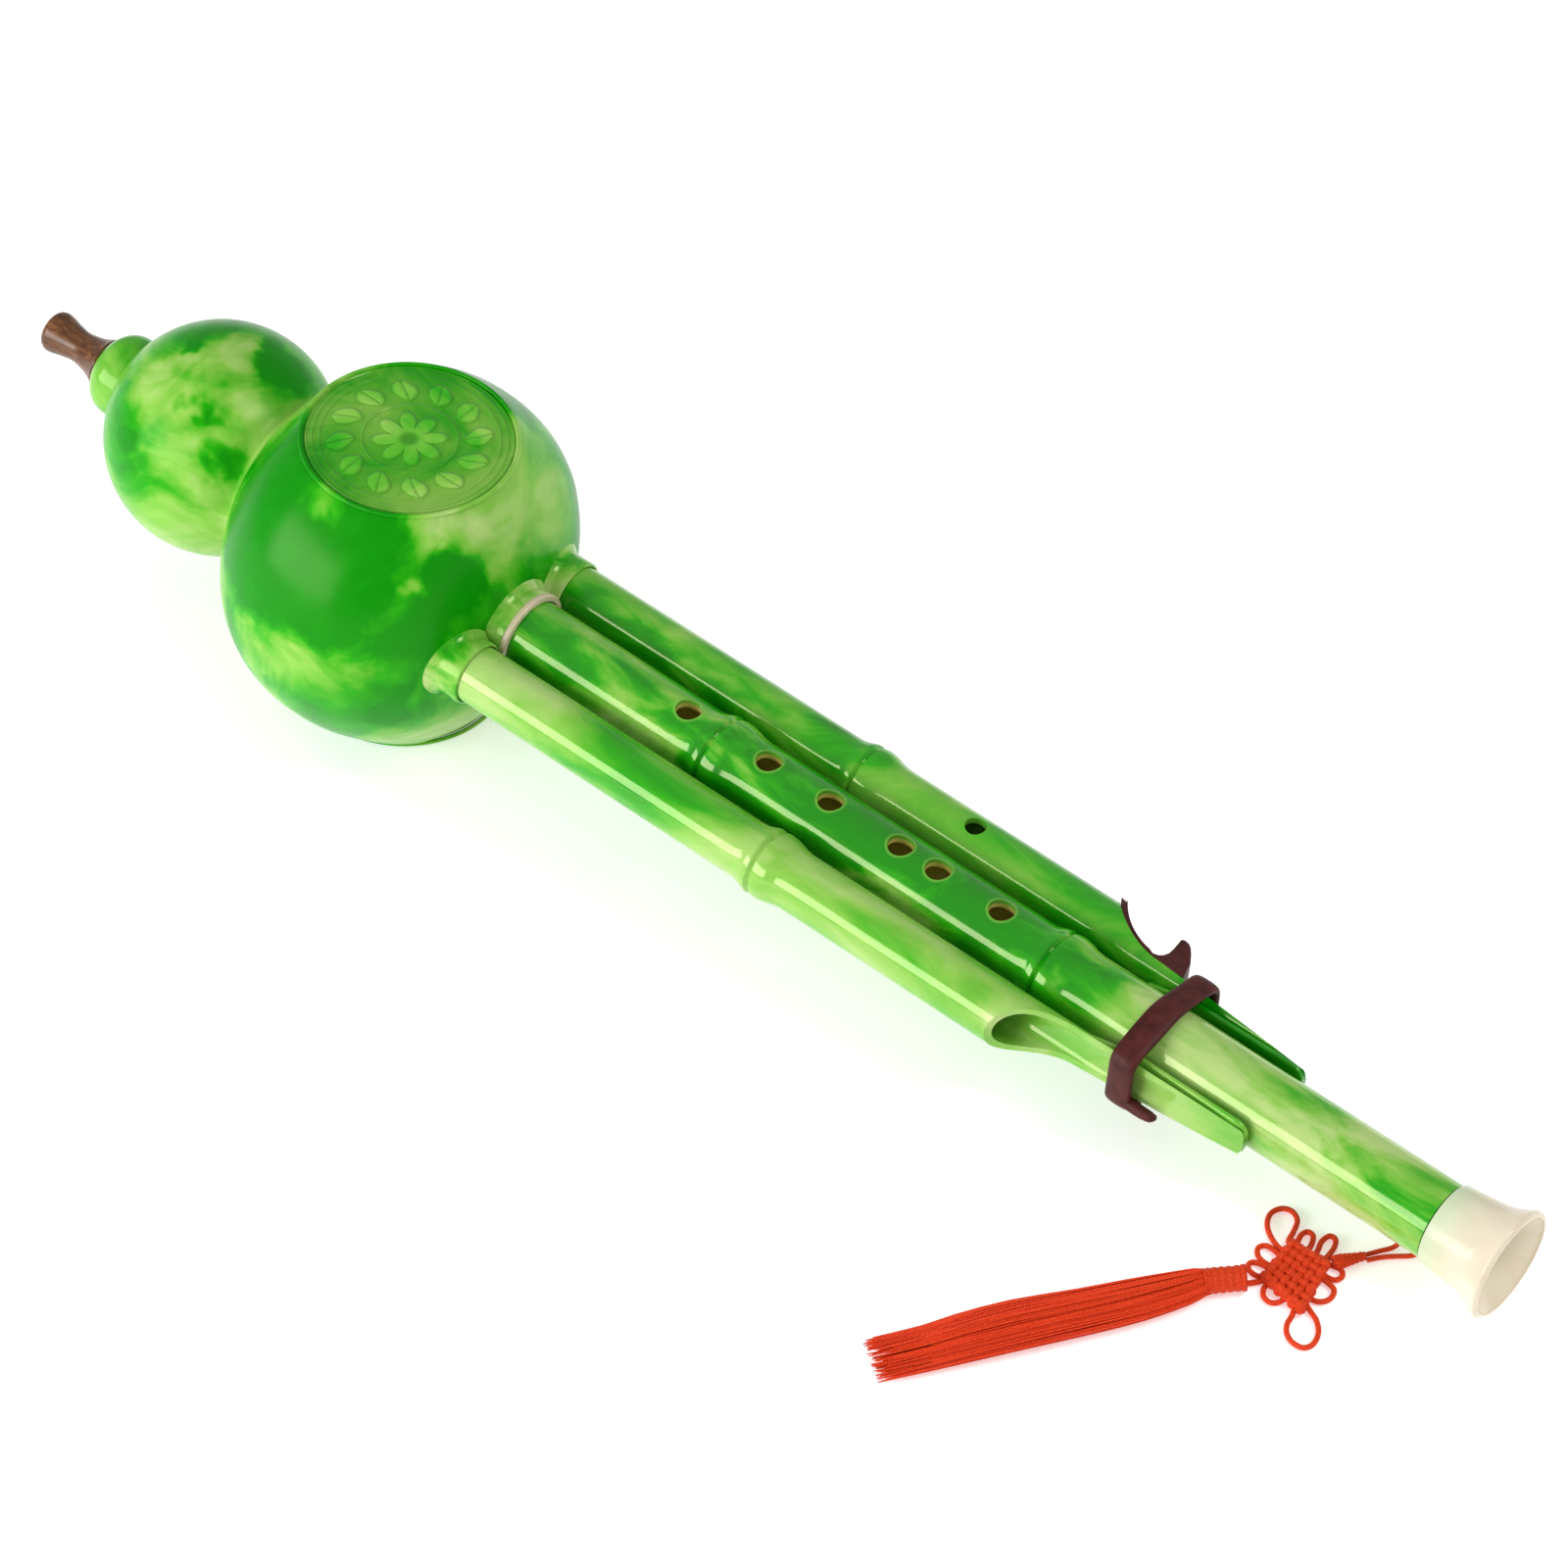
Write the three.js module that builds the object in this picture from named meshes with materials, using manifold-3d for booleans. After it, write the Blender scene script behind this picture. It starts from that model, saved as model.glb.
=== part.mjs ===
// A cucurbit flute lying on its back: a moulded gourd wind chest, a fingered main pipe between two
// drone pipes, brass free reeds, a rubber band and drone stopper, a bell, and a knotted tassel.
// Millimetres. The instrument is drawn along its own axis, mouthpiece tip at x = 0 and bell at +x,
// finger holes up, and is then laid down so that its back medallion and its bell lip meet z = 0.
// The cord, the knot and the tassel are drawn where they lie on z = 0, in the finished frame.
import * as THREE from "three";
import { ConvexGeometry } from "three/addons/geometries/ConvexGeometry.js";
import { mergeVertices } from "three/addons/utils/BufferGeometryUtils.js";
import Module from "manifold-3d";

const wasm = await Module();
wasm.setup();

// Driving dimensions
const overallLength = 440;
const fitGap = 0.3;
const overrun = 1;
const weld = 0.0001;
const floorGap = 0.05;

// Facet counts
const gourdSides = 40;
const cavitySides = 24;
const mainSides = 24;
const droneSides = 20;
const smallSides = 20;
const holeSides = 14;
const smallLobeSteps = 12;
const largeLobeSteps = 16;
const curveSteps = 10;
const crownSteps = 6;
const bandArcSteps = 5;
const bevelSteps = 2;
const cordSides = 8;
const cordSteps = 44;
const loopSteps = 12;
const bundleSides = 12;
const skirtSides = 20;

// Pipes: the fingered main pipe and a drone on each side of it
const mainRadius = 9.4;
const mainWall = 2.4;
const mainBore = mainRadius - mainWall;
const droneRadius = 7.25;
const droneWall = 1.65;
const droneBore = droneRadius - droneWall;
const pipeSpace = 1.45;
const pipePitch = mainRadius + droneRadius + pipeSpace;

// Mouthpiece
const tipRadius = 5.4;
const tipRound = 1.8;
const waistRadius = 4.1;
const waistX = 9.8;
const mouthBaseRadius = 6.9;
const mouthBaseX = 19.2;
const mouthBaseEdge = 1.2;
const mouthBore = 2.2;
const mouthTenonWall = 2.4;
const mouthTenonRadius = mouthBore + mouthTenonWall;
const mouthTenonLength = 13;

// Neck collar
const collarRadius = 10.8;
const collarFaceRadius = 7.2;
const collarLength = 8.7;
const collarX = mouthBaseX + fitGap;
const collarEndX = collarX + collarLength;
const collarWall = 2.3;
const spigotRadius = mouthTenonRadius + fitGap + collarWall;
const spigotLength = 8;

// Pipe socket: a crowned plate with three sleeves, in the gourd's end face
const mainSleeveWall = 1.4;
const mainSleeveRadius = mainRadius + fitGap + mainSleeveWall;
const droneSleeveWall = 0.6;
const droneSleeveRadius = droneRadius + fitGap + droneSleeveWall;
const plateMargin = 0.95;
const plateRadius = pipePitch + droneSleeveRadius + plateMargin;
const plateThickness = 3;
const plateCrown = 4.6;
const sleeveDepth = 8.5;
const mainSleeveLength = 9.5;
const droneSleeveLength = 8.1;
const sleeveEdge = 0.5;

// Gourd lobes, each a body of revolution about the axis. The small one meets the collar, the large
// one meets the small one, and the end face lies where the large one is just wider than the plate.
const smallLobeRadius = 29;
const smallLobeX = collarEndX + fitGap + Math.sqrt(smallLobeRadius ** 2 - spigotRadius ** 2);
const largeLobeRadius = 46.1;
const largeLobeHalf = 38.9;
const lobePower = 2.16;
const lobeOverlap = 9.9;
const largeLobeX = smallLobeX + smallLobeRadius + largeLobeHalf - lobeOverlap;
const endFaceLand = 1.1;
const endFaceShare = (1 - ((plateRadius + endFaceLand) / largeLobeRadius) ** lobePower) ** (1 / lobePower);
const endFaceX = largeLobeX + largeLobeHalf * endFaceShare;
const shellWall = 2.5;
const seamGap = 0.3;

// Medallions, one on the front of the large lobe and one on its back
const medallionShift = 1.4;
const medallionX = largeLobeX + medallionShift;
const medallionRadius = 24.9;
const rimWidth = 1.3;
const rimRadius = medallionRadius + rimWidth;
const rimHeight = 38.7;
const recessDepth = 1.6;
const medallionProud = 0.4;
const medallionEdge = 0.5;

// Where the socket and the pipes' inner ends lie, measured from the end face
const sleeveInnerX = endFaceX - sleeveDepth;
const mainSleeveEndX = endFaceX + mainSleeveLength;
const droneSleeveEndX = endFaceX + droneSleeveLength;
const mainReach = 48.5;
const mainInnerX = endFaceX - mainReach;
const droneReach = 34.5;
const droneInnerX = endFaceX - droneReach;
const sealReach = 4.5;
const sealX = endFaceX - sealReach;
const sealLength = 9;
const sealDepth = 1;

// Bell, on a tenon of the main pipe
const bellLength = 18.6;
const bellJointX = overallLength - bellLength;
const tenonStep = 1.4;
const tenonRadius = mainRadius - tenonStep;
const tenonLength = 11;
const bellStep = 0.4;
const bellStepRise = 0.7;
const bellStepRadius = mainRadius + bellStepRise;
const bellWaistRise = 1.5;
const bellWaistRadius = mainRadius + bellWaistRise;
const bellWaistShare = 0.49;
const bellWaistX = bellJointX + bellLength * bellWaistShare;
const bellFlare = 4.4;
const bellLipRadius = mainRadius + bellFlare;
const bellLipRound = 1.2;
const bellLipX = overallLength - bellLipRound;
const bellRim = 1.5;
const bellMouthRadius = bellLipRadius - bellRim;

// Drones' open ends, measured back from the bell's joint: a trough behind a scoop on the outer side,
// which flattens into a tail that lies against the main pipe
const droneShortfall = 46.4;
const droneEndX = bellJointX - droneShortfall;
const troughLength = 44;
const scoopEndX = droneEndX - troughLength;
const scoopLength = 19;
const scoopX = scoopEndX - scoopLength;
const troughDepth = 3.8;
const troughEndDepth = 6.2;
const tailGap = 0.5;
const tailPlace = 0.6;
const tailTaper = 12;
const tailStartWidth = 4;
const tailWidth = 10.4;
const tipCorner = 2.2;

// Nodes and holes, at shares of the round pipes' run between the end face and the scoops
const pipeRun = scoopX - endFaceX;
const nodeRise = 1.1;
const nodeLength = 5.4;
const mainNodeShares = [0.4078, 1.0036];
const mainNodes = mainNodeShares.map((share) => endFaceX + share * pipeRun);
const droneNodeShare = 0.585;
const droneNodeX = endFaceX + droneNodeShare * pipeRun;
const fingerHoleShares = [0.3462, 0.4925, 0.6036, 0.7287, 0.7951, 0.9069];
const fingerHoles = fingerHoleShares.map((share) => endFaceX + share * pipeRun);
const fingerHoleRadius = 3.2;
const thumbHoleShare = 0.2568;
const thumbHoleX = endFaceX + thumbHoleShare * pipeRun;
const droneHoleShare = 0.777;
const droneHoleX = endFaceX + droneHoleShare * pipeRun;
const droneHoleRadius = 2.6;
const cordHoleRadius = 0.95;
const cordHoleBack = 3.9;
const cordHolePitch = 5;
const cordHoles = [bellJointX - cordHoleBack - cordHolePitch, bellJointX - cordHoleBack];

// Reeds, on a flat seat near the inner end of each pipe, within the pipe's own round outline
const seatStart = 7;
const plateThick = 0.6;
const tongueThick = 0.3;
const plugLip = 2.8;
const plugSpigot = 4;
const mainSeatDrop = 1.7;
const mainReed = { flat: mainRadius - mainSeatDrop, plate: [23, 7.2], slot: [16.2, 3] };
const droneSeatDrop = 1.35;
const droneReed = { flat: droneRadius - droneSeatDrop, plate: [19, 4.8], slot: [13, 2.2] };

// Rubber band
const bandPlace = 9;
const bandX = scoopEndX + bandPlace;
const bandWidth = 7.2;
const bandThickness = 2.2;
const bandEdge = 0.9;
const bandTabLength = 6;
const dronePull = 8;
const bandTabWidth = 3.6;
const bandTabThickness = 1.8;
const bandTabHole = 0.8;

// Stopper of the far drone
const strapThickness = 1.5;
const stopperHalfWidth = 5.6;
const tabHalfWidth = 3.4;
const tabTopRise = 7.8;
const tabTopBack = 1.4;
const tabTopX = scoopEndX - tabTopBack;
const tabBasePlace = 6.6;
const tabBaseX = scoopEndX + tabBasePlace;
const coreHalfWidth = 3.2;
const coreDepth = 4.1;
const corePlace = 5;
const coreX = scoopX + corePlace;

// Outlines as shares of the sizes above
// A bamboo-like node: a swelling with a fine groove, short before the groove and longer after it
const nodeShares = [
  [-1, 0],
  [-0.67, 0.25],
  [-0.33, 0.75],
  [-0.08, 1],
  [0, 0.5],
  [0.08, 1],
  [0.55, 1],
  [0.85, 0.75],
  [1.2, 0.25],
  [1.6, 0],
];
const collarShares = [
  [0, 0],
  [0.08, 0.35],
  [0.25, 0.72],
  [0.45, 0.94],
  [0.65, 1],
  [0.85, 0.98],
  [1, 0.93],
];
const bellShares = [
  [0, 0],
  [0.25, 0.14],
  [0.5, 0.4],
  [0.75, 0.76],
  [0.93, 0.98],
  [1, 1],
];
const tabShares = [
  [1, 0],
  [0.9, 0.33],
  [0.65, 0.67],
  [0.3, 1],
  [0, 1],
  [0.06, 0.67],
  [0.09, 0.33],
];

// The cord: from the braid up through one underside hole of the main pipe, round inside the bore and
// down through the other hole to the braid. Every list below holds places [x, y, z] or [x, y] in the
// finished frame, chosen by hand along the soft pieces.
const cordRadius = 0.58;
const skirtFluteShare = 0.12;
const cordPath = [
  [185.67, -7.51, 0.65],
  [186.75, -5.72, 0.65],
  [187.85, -3.95, 0.65],
  [188.92, -2.35, 0.65],
  [189.64, -1.17, 1.02],
  [190.16, -0.31, 2.03],
  [190.36, 0, 3.4],
  [190.49, 0, 5],
  [190.62, 0, 6.61],
  [190.72, 0, 7.8],
  [190.82, 0, 9],
  [191.09, 0, 9.93],
  [191.7, 0, 10.7],
  [192.55, 0, 11.17],
  [193.52, 0, 11.28],
  [194.46, 0, 11.01],
  [195.22, 0, 10.4],
  [195.69, 0, 9.54],
  [195.8, 0, 8.58],
  [195.7, 0, 7.38],
  [195.6, 0, 6.18],
  [195.5, 0, 4.7],
  [195.4, 0, 3.3],
  [195.12, -0.22, 1.98],
  [194.37, -0.82, 1],
  [193.33, -1.64, 0.65],
  [191.7, -3.05, 0.65],
  [189.85, -4.75, 0.65],
  [188.35, -6.45, 0.65],
  [186.97, -8.39, 0.65],
];

// Pieces that lie flat: along each run of places, the half width and the half height there
const braidRun = {
  places: [[186.15, -8.2], [184.6, -10.5], [183.2, -12.5]],
  halfWidth: [1.4, 1.8, 2],
  halfHeight: [0.8, 1.3, 1.4],
};
const tailRun = {
  places: [[172, -28.9], [170.3, -31]],
  halfWidth: [1.2, 1.1],
  halfHeight: [0.7, 0.7],
};
const headRun = {
  places: [[170.3, -31.4], [169.8, -31.9], [167.4, -34.4], [164.9, -37]],
  halfWidth: [2.2, 3.1, 3.1, 2.9],
  halfHeight: [2.1, 3, 3.1, 2.9],
};
const skirtRun = {
  places: [
    [164.4, -37.5],
    [163.1, -39.1],
    [161.3, -42.9],
    [155.7, -52],
    [148.6, -62.2],
    [139.7, -74.2],
    [132.5, -84.7],
    [128.3, -91.2],
    [120.4, -102.6],
  ],
  halfWidth: [2.9, 3.6, 4.7, 5.9, 6.4, 7, 6.8, 6.4, 6.4],
  halfHeight: [2.9, 3, 3.2, 3.3, 3.3, 3.2, 2.9, 2.6, 2.3],
};

// The knot: a woven body with two ears and seven small loops of one cord
const knotCorners = [[172, -28.4], [170.9, -15], [181.8, -15.2], [185.5, -31.6]];
const knotThickness = 3.4;
const knotEdge = 0.8;
const knotCordRadius = 0.65;
const nearEar = [
  [173, -19], [168.4, -17.4], [165, -15.4], [162.9, -13], [162.1, -10.3], [163.2, -7.8],
  [165.5, -7.1], [168, -8.6], [169.3, -11.9], [170.2, -15], [173, -16.8],
];
const farEar = [
  [182.4, -29.6], [183.6, -32.2], [184.2, -34.9], [185.7, -37.2], [188.2, -38.6], [191, -38.4],
  [192.1, -36.2], [191.2, -32.9], [188.8, -30.2], [186.2, -28.8], [183.4, -27.6],
];
const smallLoops = [
  [
    [172.9, -16.6], [171.9, -14], [171.2, -11.6], [171.8, -9.9],
    [173.5, -10.2], [174.8, -12.9], [175.4, -16.2],
  ],
  [
    [177.3, -16.4], [176.9, -13.4], [175.9, -10.3], [176.3, -7.9],
    [178, -7.9], [179.3, -10.7], [179.9, -16.2],
  ],
  [
    [173.6, -20.8], [169.2, -19.1], [166.9, -19.2], [166, -20.8],
    [167.5, -22.8], [170.3, -23.5], [173.6, -23.4],
  ],
  [
    [173.4, -24.6], [169, -24.4], [167.2, -25.6],
    [168.3, -27.4], [170.8, -27.7], [173.6, -26.8],
  ],
  [
    [174.4, -26.9], [174, -29.4], [175.4, -31.7],
    [177.7, -32.2], [179.2, -30.6], [179.6, -27.4],
  ],
  [
    [181.2, -19.6], [184.8, -19.6], [186.7, -20.6], [187.3, -23],
    [186.2, -25], [184.2, -25.7], [181.6, -25.2],
  ],
  [
    [179.6, -16.4], [182, -14.7], [184.2, -14.5], [185.5, -15.9],
    [185.1, -17.6], [183.4, -18.2], [180.6, -18.2],
  ],
];
const knotLoops = [nearEar, farEar, ...smallLoops];

const plastic = (color) => new THREE.MeshStandardMaterial({ color, roughness: 0.25, metalness: 0 });
const jade = plastic(0x3fa51c);
const paleJade = plastic(0x9ccb6a);
const brown = plastic(0x5f3a20);
const cream = plastic(0xdfd8c0);
const maroon = new THREE.MeshStandardMaterial({ color: 0x5a2626, roughness: 0.55, metalness: 0 });
const brass = new THREE.MeshStandardMaterial({ color: 0xc8a24a, roughness: 0.3, metalness: 1 });
const redCord = new THREE.MeshStandardMaterial({ color: 0xe63a1e, roughness: 0.8, metalness: 0 });

// A closed geometry as a solid for joins and cuts
function solidOf(geometry) {
  const plain = geometry.clone();
  plain.deleteAttribute("normal");
  plain.deleteAttribute("uv");
  const merged = mergeVertices(plain, weld);
  const vertProperties = Float32Array.from(merged.attributes.position.array);
  const triVerts = Uint32Array.from(merged.index.array);
  return new wasm.Manifold(new wasm.Mesh({ numProp: 3, vertProperties, triVerts }));
}

function geometryOf(solid) {
  const mesh = solid.getMesh();
  const geometry = new THREE.BufferGeometry();
  geometry.setAttribute("position", new THREE.BufferAttribute(mesh.vertProperties, 3));
  geometry.setIndex(new THREE.BufferAttribute(mesh.triVerts, 1));
  geometry.computeVertexNormals();
  return geometry;
}

// A body of revolution about the x axis. The profile is a list of [x, radius] points.
function turned(profile, sides) {
  const points = profile.map(([x, radius]) => new THREE.Vector2(radius, x));
  const geometry = new THREE.LatheGeometry(points, sides);
  geometry.rotateZ(-Math.PI / 2);
  return solidOf(geometry);
}

const ring = (profile, sides) => turned([...profile, profile[0]], sides);

function cylinderX(radius, from, to, sides) {
  return turned([[from, 0], [from, radius], [to, radius], [to, 0]], sides);
}

function cylinderZ(radius, from, to, sides) {
  const geometry = new THREE.CylinderGeometry(radius, radius, to - from, sides);
  geometry.rotateX(Math.PI / 2);
  geometry.translate(0, 0, (from + to) / 2);
  return solidOf(geometry);
}

function boxBetween(low, high) {
  const size = high.map((value, axis) => value - low[axis]);
  const geometry = new THREE.BoxGeometry(...size);
  geometry.translate(...high.map((value, axis) => (value + low[axis]) / 2));
  return solidOf(geometry);
}

// A flat outline of [x, y] points, given thickness between two heights
function slab(outline, from, to) {
  const shape = new THREE.Shape(outline.map(([x, y]) => new THREE.Vector2(x, y)));
  const geometry = new THREE.ExtrudeGeometry(shape, { depth: to - from, bevelEnabled: false });
  geometry.translate(0, 0, from);
  return solidOf(geometry);
}

function meshOf(name, solid, material) {
  const mesh = new THREE.Mesh(geometryOf(solid), material);
  mesh.name = name;
  return mesh;
}

// The lobes' outlines: a ball, and a slightly squared oval that ends in a flat face. An inset of the
// wall's thickness gives the hollow inside.
function smallLobeAt(x, inset) {
  return Math.sqrt(Math.max(0, (smallLobeRadius - inset) ** 2 - (x - smallLobeX) ** 2));
}

function largeLobeAt(x, inset) {
  const share = Math.min(1, Math.abs(x - largeLobeX) / (largeLobeHalf - inset));
  return (largeLobeRadius - inset) * (1 - share ** lobePower) ** (1 / lobePower);
}

// Points along one lobe between two places on the axis, closer together where it curves most
function lobeOutline(centre, half, heightAt, from, to, steps) {
  const start = Math.acos((centre - from) / half);
  const end = Math.acos((centre - to) / half);
  const outline = [];
  for (let step = 0; step <= steps; step += 1) {
    const x = centre - half * Math.cos(start + ((end - start) * step) / steps);
    outline.push([x, heightAt(x)]);
  }
  return outline;
}

function lobeProfile(isLarge, inset, from, to) {
  const centre = isLarge ? largeLobeX : smallLobeX;
  const half = (isLarge ? largeLobeHalf : smallLobeRadius) - inset;
  const heightAt = (x) => (isLarge ? largeLobeAt(x, inset) : smallLobeAt(x, inset));
  const steps = isLarge ? largeLobeSteps : smallLobeSteps;
  const outline = lobeOutline(centre, half, heightAt, from, to, steps);
  return [[from, 0], ...outline, [to, 0]];
}

// The large lobe is drawn tight over its own round body and the two medallion rims
function largeLobe() {
  const profile = lobeProfile(true, 0, largeLobeX - largeLobeHalf + weld, endFaceX);
  const points = [];
  for (let side = 0; side < gourdSides; side += 1) {
    const angle = (2 * Math.PI * side) / gourdSides;
    const [across, up] = [Math.sin(angle), Math.cos(angle)];
    for (const [x, radius] of profile) points.push(new THREE.Vector3(x, radius * across, radius * up));
    for (const z of [-rimHeight, rimHeight]) {
      points.push(new THREE.Vector3(medallionX + rimRadius * up, rimRadius * across, z));
    }
  }
  return solidOf(new ConvexGeometry(points));
}

function gourdShell() {
  const startX = collarEndX + fitGap;
  const innerStartX = startX + shellWall;
  const cavityEnd = endFaceX - plateThickness - fitGap;
  const reach = 2 * largeLobeRadius;
  const between = (height) => boxBetween([-reach, -reach, -height], [2 * reach, reach, height]);
  const small = turned(lobeProfile(false, 0, startX, smallLobeX + smallLobeRadius - weld), gourdSides);
  const outer = small.add(largeLobe()).intersect(between(rimHeight));
  const innerEnd = smallLobeX + smallLobeRadius - shellWall - weld;
  const smallHollow = turned(lobeProfile(false, shellWall, innerStartX, innerEnd), cavitySides);
  const largeInnerStart = largeLobeX - largeLobeHalf + shellWall + weld;
  const largeHollow = turned(lobeProfile(true, shellWall, largeInnerStart, cavityEnd), cavitySides);
  const cavity = smallHollow.add(largeHollow).intersect(between(rimHeight - recessDepth - shellWall));
  const neckHole = cylinderX(spigotRadius + fitGap, startX - overrun, smallLobeX, smallSides);
  const plateHole = cylinderX(plateRadius + fitGap, cavityEnd - overrun, endFaceX + overrun, gourdSides);
  const recessFloor = rimHeight - recessDepth;
  const recess = cylinderZ(medallionRadius + fitGap, recessFloor, rimHeight + overrun, gourdSides);
  const frontRecess = recess.translate([medallionX, 0, 0]);
  const backRecess = frontRecess.rotate([180, 0, 0]);
  let shell = outer;
  for (const cut of [cavity, neckHole, plateHole, frontRecess, backRecess]) shell = shell.subtract(cut);
  return shell;
}

// Two glued halves that meet in the plane of the three pipes, each with one medallion
function gourdHalves() {
  const shell = gourdShell();
  const reach = 2 * largeLobeRadius;
  const half = (low, high) => shell.intersect(boxBetween([-reach, -reach, low], [2 * reach, reach, high]));
  return [
    meshOf("gourd_front_shell", half(seamGap / 2, reach), jade),
    meshOf("gourd_back_shell", half(-reach, -seamGap / 2), jade),
  ];
}

// Turned by half a facet, so that the disc rests on the edge of a facet and not on a corner
const medallionTurn = Math.PI / gourdSides;

function medallion(name, side) {
  const top = rimHeight + medallionProud;
  const base = rimHeight - recessDepth + fitGap;
  const points = [
    [0, base],
    [medallionRadius, base],
    [medallionRadius, top - medallionEdge],
    [medallionRadius - medallionEdge, top],
    [0, top],
  ].map(([radius, z]) => new THREE.Vector2(radius, z));
  const geometry = new THREE.LatheGeometry(points, gourdSides);
  geometry.rotateX(Math.PI / 2);
  geometry.rotateZ(medallionTurn);
  geometry.translate(medallionX, 0, 0);
  const disc = solidOf(geometry);
  return meshOf(name, side > 0 ? disc : disc.rotate([180, 0, 0]), jade);
}

function mouthpiece() {
  const tenonEnd = mouthBaseX + mouthTenonLength;
  const outside = new THREE.SplineCurve([
    new THREE.Vector2(0, tipRadius - tipRound),
    new THREE.Vector2(tipRound, tipRadius),
    new THREE.Vector2(waistX, waistRadius),
    new THREE.Vector2(mouthBaseX - mouthBaseEdge, mouthBaseRadius),
  ]).getPoints(curveSteps).map((point) => [point.x, point.y]);
  const profile = [
    ...outside,
    [mouthBaseX, mouthBaseRadius - mouthBaseEdge / 2],
    [mouthBaseX, mouthTenonRadius],
    [tenonEnd, mouthTenonRadius],
    [tenonEnd, mouthBore],
    [0, mouthBore],
  ];
  return meshOf("mouthpiece", ring(profile, smallSides), brown);
}

function neckCollar() {
  const bore = mouthTenonRadius + fitGap;
  const spigotEnd = collarEndX + spigotLength;
  const shelfX = mouthBaseX + mouthTenonLength + fitGap;
  const bead = collarShares.map(([along, rise]) => [
    collarX + along * (collarEndX - collarX),
    collarFaceRadius + rise * (collarRadius - collarFaceRadius),
  ]);
  const profile = [
    [collarX, bore],
    ...bead,
    [collarEndX, spigotRadius],
    [spigotEnd, spigotRadius],
    [spigotEnd, mouthBore],
    [shelfX, mouthBore],
    [shelfX, bore],
  ];
  return meshOf("neck_collar", ring(profile, droneSides), jade);
}

function sleeve(radius, endX) {
  const profile = [
    [sleeveInnerX, 0],
    [sleeveInnerX, radius],
    [endX - sleeveEdge, radius],
    [endX, radius - sleeveEdge],
    [endX, 0],
  ];
  return turned(profile, mainSides);
}

// The plate's outer face is a shallow dome, so that the gourd's end looks round between the sleeves
function crownedPlate() {
  const profile = [[endFaceX - plateThickness, 0], [endFaceX - plateThickness, plateRadius]];
  for (let step = crownSteps; step >= 0; step -= 1) {
    const share = step / crownSteps;
    profile.push([endFaceX + plateCrown * (1 - share ** 2), plateRadius * share]);
  }
  return turned(profile, gourdSides);
}

function pipeSocket() {
  const plate = crownedPlate();
  const drone = sleeve(droneSleeveRadius, droneSleeveEndX);
  const holeStart = sleeveInnerX - overrun;
  const holeEnd = mainSleeveEndX + overrun;
  const droneHole = cylinderX(droneRadius + fitGap, holeStart, holeEnd, droneSides);
  const mainHole = cylinderX(mainRadius + fitGap, holeStart, holeEnd, mainSides);
  let solid = plate.add(sleeve(mainSleeveRadius, mainSleeveEndX));
  for (const side of [-1, 1]) solid = solid.add(drone.translate([0, side * pipePitch, 0]));
  for (const side of [-1, 1]) solid = solid.subtract(droneHole.translate([0, side * pipePitch, 0]));
  return meshOf("pipe_socket", solid.subtract(mainHole), paleJade);
}

function nodeProfile(x, radius) {
  return nodeShares.map(([along, rise]) => [x + along * nodeLength, radius + rise * nodeRise]);
}

function sealGroove(radius) {
  return [
    [sealX, radius],
    [sealX, radius - sealDepth],
    [sealX + sealLength, radius - sealDepth],
    [sealX + sealLength, radius],
  ];
}

function holeAlongZ(x, radius, from, to) {
  return cylinderZ(radius, from, to, holeSides).translate([x, 0, 0]);
}

// The flat seat and the window under a reed plate, on the pipe's upper side
function reedSeat(innerX, radius, reed) {
  const start = innerX + seatStart;
  const [plateLength] = reed.plate;
  const [slotLength, slotWidth] = reed.slot;
  const windowStart = start + (plateLength - slotLength) / 2;
  const windowEnd = windowStart + slotLength;
  const reach = 2 * radius;
  const flatEnd = start + plateLength + fitGap;
  const flat = boxBetween([start - fitGap, -radius, reed.flat], [flatEnd, radius, reach]);
  const window = boxBetween([windowStart, -slotWidth / 2, 0], [windowEnd, slotWidth / 2, reach]);
  return flat.add(window);
}

function mainPipe() {
  const endX = bellJointX + tenonLength;
  const profile = [
    [mainInnerX, mainBore],
    [mainInnerX, mainRadius],
    ...sealGroove(mainRadius),
    ...mainNodes.flatMap((x) => nodeProfile(x, mainRadius)),
    [bellJointX, mainRadius],
    [bellJointX, tenonRadius],
    [endX, tenonRadius],
    [endX, mainBore],
  ];
  let solid = ring(profile, mainSides).subtract(reedSeat(mainInnerX, mainRadius, mainReed));
  const reach = 2 * mainRadius;
  for (const x of fingerHoles) solid = solid.subtract(holeAlongZ(x, fingerHoleRadius, 0, reach));
  solid = solid.subtract(holeAlongZ(thumbHoleX, fingerHoleRadius, -reach, 0));
  for (const x of cordHoles) solid = solid.subtract(holeAlongZ(x, cordHoleRadius, -reach, 0));
  return meshOf("main_pipe", solid, jade);
}

// Height of the scoop's cut above the drone's axis, towards the outer side
const scoopDrop = droneRadius + troughDepth;
const scoopArcRadius = (scoopLength ** 2 + scoopDrop ** 2) / (2 * scoopDrop);
const scoopAt = (x) => Math.sqrt(scoopArcRadius ** 2 - (scoopEndX - x) ** 2);
const scoopRise = (x) => scoopArcRadius - troughDepth - scoopAt(x);

// The scoop's arc, from the pipe's outer surface down to the trough, raised by a clearance
function scoopArc(raise) {
  const points = [];
  for (let step = 0; step <= curveSteps; step += 1) {
    const x = scoopX + (scoopLength * step) / curveSteps;
    const slope = (scoopEndX - x) / scoopArcRadius;
    points.push([x + raise * slope, scoopRise(x) + raise * Math.sqrt(1 - slope ** 2)]);
  }
  return points;
}

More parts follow.
